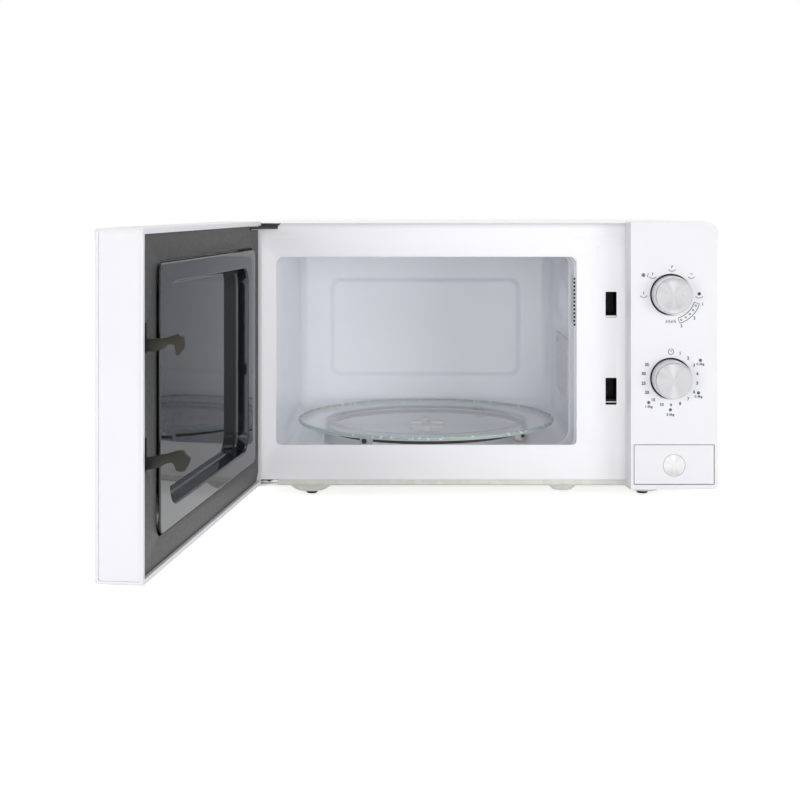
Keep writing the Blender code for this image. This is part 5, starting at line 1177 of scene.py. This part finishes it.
def make_glass_plate():
    """The glass plate: lowered middle, broad ring over the rollers, raised rim with a ground edge, and a
    pale band under the rim that is painted highlight.
    """
    low, high = PLATE
    bottom, rim, edge, flat = low.z, high.z, (high.x - low.x) / 2, PLATE_FLAT
    top = bottom + PLATE_MIDDLE
    seat = ROLLER[1].z + 0.3
    upper = [(0, top), (flat - 1.6, top), (flat - 0.6, top + 0.12), (flat + 0.6, top + 0.5),
             (flat + 2.4, top + 1.1), (flat + 8, seat + 1.1), (flat + 11.5, seat + 1.9),
             (flat + 14, seat + 2.1), (edge - 9, seat + 2.2), (edge - 5, rim - 0.25)]
    round_edge = [(edge - 2.2, rim), (edge - 1.2, rim - 0.1), (edge - 0.4, rim - 0.5), (edge, rim - 1.1),
                  (edge - 0.2, rim - 1.8), (edge - 0.7, rim - 2.9), (edge - 1.7, rim - 3.7),
                  (edge - 3, rim - 3.9), (edge - 5, rim - 3.5)]
    lower = [(edge - 8, seat), (flat + 13.5, seat), (flat + 11, seat - 0.7), (flat + 4, bottom + 0.7),
             (flat + 1, bottom), (0, bottom)]
    ground = [(edge - 2.2, rim + 0.12), (edge - 1.1, rim), (edge - 0.3, rim - 0.4),
              (edge + 0.12, rim - 1.1), (edge - 0.05, rim - 1.8), (edge - 0.35, rim - 2.5),
              (edge - 1.2, rim - 2.4), (edge - 1.6, rim - 0.5)]
    below = [(edge - 0.36, rim - 2.52), (edge - 0.55, rim - 3.0), (edge - 1.6, rim - 3.85),
             (edge - 2.6, rim - 4.05), (edge - 2.4, rim - 3.2), (edge - 1.2, rim - 2.52)]
    for name, profile, glass, replaced in (
            ("plate_turned", upper + round_edge + lower, "plate_glass", ("glass_plate",)),
            ("plate_ground_edge", ground, "ground_glass", ()),
            ("plate_lower_edge", below, "pale_glass_painted_highlight", ())):
        piece = show(name, lathe("Z", TURN_X, TURN_Y, profile, PLATE_SIDES), "turntable", glass, replaced)
        piece.visible_shadow = name != "plate_turned"


def make_plate_lugs():
    """Three lugs on the plate's middle, over the coupler's arms: moulded shapes in pale glass whose colour
    is painted highlight.
    """
    top = PLATE[0].z + PLATE_MIDDLE
    start, end, half = LUG
    lugs = []
    for degrees in LUG_TURNS:
        lug = prism("Z", rounded(start, end, -half, half, 4.6, 5), top - 1.4, top + 0.7)
        round_off(lug, in_plane("Z", top + 0.7), 0.6, 3)
        turn = Matrix.Translation((TURN_X, TURN_Y, 0)) @ Matrix.Rotation(math.radians(degrees), 4, "Z")
        bmesh.ops.transform(lug, matrix=turn, verts=lug.verts)
        lugs.append(lug)
    show("plate_lugs", joined(*lugs), "turntable", "pale_glass_painted_highlight")


def make_roller_ring():
    """The roller ring with its four axles, and a wheel on each."""
    level = (ROLLER[0].z + ROLLER[1].z) / 2
    shapes = [lathe("Z", TURN_X, TURN_Y, RING_PROFILE, 128, level)]
    for number, degrees in enumerate(ROLLER_TURNS, 1):
        turn = Matrix.Rotation(math.radians(degrees), 4, "Z")
        place = Matrix.Translation((TURN_X, TURN_Y, level)) @ turn
        axle = lathe("X", 0, 0, AXLE_PROFILE, 24)
        wheel = lathe("X", 0, 0, WHEEL_PROFILE, 48)
        for shape in (axle, wheel):
            bmesh.ops.transform(shape, matrix=place, verts=shape.verts)
        shapes.append(axle)
        show(f"roller_{number}_turned", wheel, BODY_OF[f"roller_{number}"], "roller_plastic",
             (f"roller_{number}",))
    show("ring_turned", joined(*shapes), "ring", "ring_plastic", ("roller_ring",))


def make_everything():
    make_bracket_ends()
    make_front_face()
    make_catch_edges()
    make_cavity()
    make_mica()
    make_pan()
    make_feet()
    make_cover()
    refined("upper_hinge", 0.35, finish="hinge_black")
    refined("lower_hinge", 0.35)
    make_panel()
    make_dials()
    make_button()
    make_timer_scale()
    make_function_scale()
    make_door_shell()
    make_choke()
    make_inner_panel()
    make_hooks()
    refined("door_glass", 0.25)
    make_glass_plate()
    refined("turntable_coupler", 0.6, 3)
    make_plate_lugs()
    make_roller_ring()


# ---- studio, in metres ----
FLOOR_HALF = 9000.0
FLAG = (-1050, -400, -1260, -1250, 1, 700)      # a black card that the door's glossy panel mirrors
LAMPS = (                           # name, place, size, power and the point it faces
    ("overhead_softbox", (0.0, 0.8, 2.0), (2.6, 1.8), 26.0, (0, 0.3, 0.1)),
    ("front_softbox", (0.10, -2.3, 0.26), (1.0, 0.5), 9.0, (0, 0, 0.12)),
    ("high_softbox", (0.30, -2.3, 1.05), (2.0, 0.5), 5.0, (0, 0, 0.15)),
    ("left_softbox", (-1.35, -2.1, 0.4), (1.0, 0.8), 20.0, (0.1, 0, 0.12)),
    ("right_softbox", (1.3, -1.8, 0.28), (0.9, 0.56), 10.5, (-0.1, 0, 0.10)),
)
MIRRORED_LAMPS = ("overhead_softbox", "high_softbox")
CAMERA_PLACE = (-51.4, -1338.0, 281.8)
CAMERA_LENS = 63.5
CAMERA_SHIFT = (-0.030, -0.2478)


def seen_directly(tree, otherwise):
    """A strength of 1 for rays that show the background, to the eye or in metal and glass."""
    path = add_node(tree, "ShaderNodeLightPath").outputs
    total = path["Is Camera Ray"]
    for ray in ("Is Glossy Ray", "Is Transmission Ray"):
        total = add_node(tree, "ShaderNodeMath", {0: total, 1: path[ray]}, operation="MAXIMUM").outputs[0]
    return spread(tree, total, otherwise, 1.0, 0.0, 1.0)


def make_backdrop():
    """A dim white world that looks fully white where it is seen."""
    world_light = bpy.data.worlds.new("studio")
    world_light.use_nodes = True
    bpy.context.scene.world = world_light
    tree = world_light.node_tree
    background = tree.nodes["Background"]
    background.inputs["Color"].default_value = (1, 1, 1, 1)
    tree.links.new(seen_directly(tree, 0.45), background.inputs["Strength"])


def staged_block(name, sides, material):
    """A block beside the object, on none of its bodies."""
    obj = placed(name, mesh_from(block(*sides)))
    obj.data.transform(Matrix.Scale(MM, 4))
    obj.data.materials.append(material)
    return obj


def make_floor():
    """Pale paper that keeps the object's shadow and turns white further away."""
    material, tree, shader = new_material("floor_paper")
    shader.inputs["Base Color"].default_value = (0.94, 0.94, 0.945, 1)
    shader.inputs["Roughness"].default_value = 0.9
    shader.inputs["Specular IOR Level"].default_value = 0.0
    shader.inputs["Emission Color"].default_value = (1, 1, 1, 1)
    away = add_node(tree, "ShaderNodeVectorMath", {0: coordinates(tree)}, operation="LENGTH")
    glow = spread(tree, away.outputs["Value"], 0.7, 1.0, 0.6, 1.8)
    shown = add_node(tree, "ShaderNodeMath", {0: seen_directly(tree, 0.0), 1: glow},
                     operation="MULTIPLY")
    tree.links.new(shown.outputs[0], shader.inputs["Emission Strength"])
    staged_block("floor", (-FLOOR_HALF, FLOOR_HALF, -FLOOR_HALF, FLOOR_HALF, -20, 0), material)


def make_lamps():
    for name, place, size, power, aim in LAMPS:
        light = bpy.data.lights.new(name, "AREA")
        light.shape = "RECTANGLE"
        light.size, light.size_y = size
        light.energy = power
        lamp = placed(name, light)
        lamp.location = place
        lamp.rotation_euler = (Vector(aim) - Vector(place)).to_track_quat("-Z", "Y").to_euler()
        lamp.visible_glossy = name in MIRRORED_LAMPS


def make_camera():
    camera = bpy.data.cameras.new("camera")
    camera.lens = CAMERA_LENS
    camera.shift_x, camera.shift_y = CAMERA_SHIFT
    viewer = placed("camera", camera)
    viewer.location = world(*CAMERA_PLACE)
    viewer.rotation_euler = (math.pi / 2, 0, 0)
    bpy.context.scene.camera = viewer


def make_studio():
    bpy.context.scene.view_settings.view_transform = "Standard"
    make_backdrop()
    make_floor()
    flag = staged_block("black_flag", FLAG, FINISHES["black_cloth"])
    flag.visible_camera = False
    flag.visible_shadow = False
    make_lamps()
    make_camera()


make_finishes()
make_studio()
for node_name, obj in NODES.items():
    obj.data.materials.clear()
    obj.data.materials.append(FINISHES[SLOT_OF[node_name]])
make_everything()
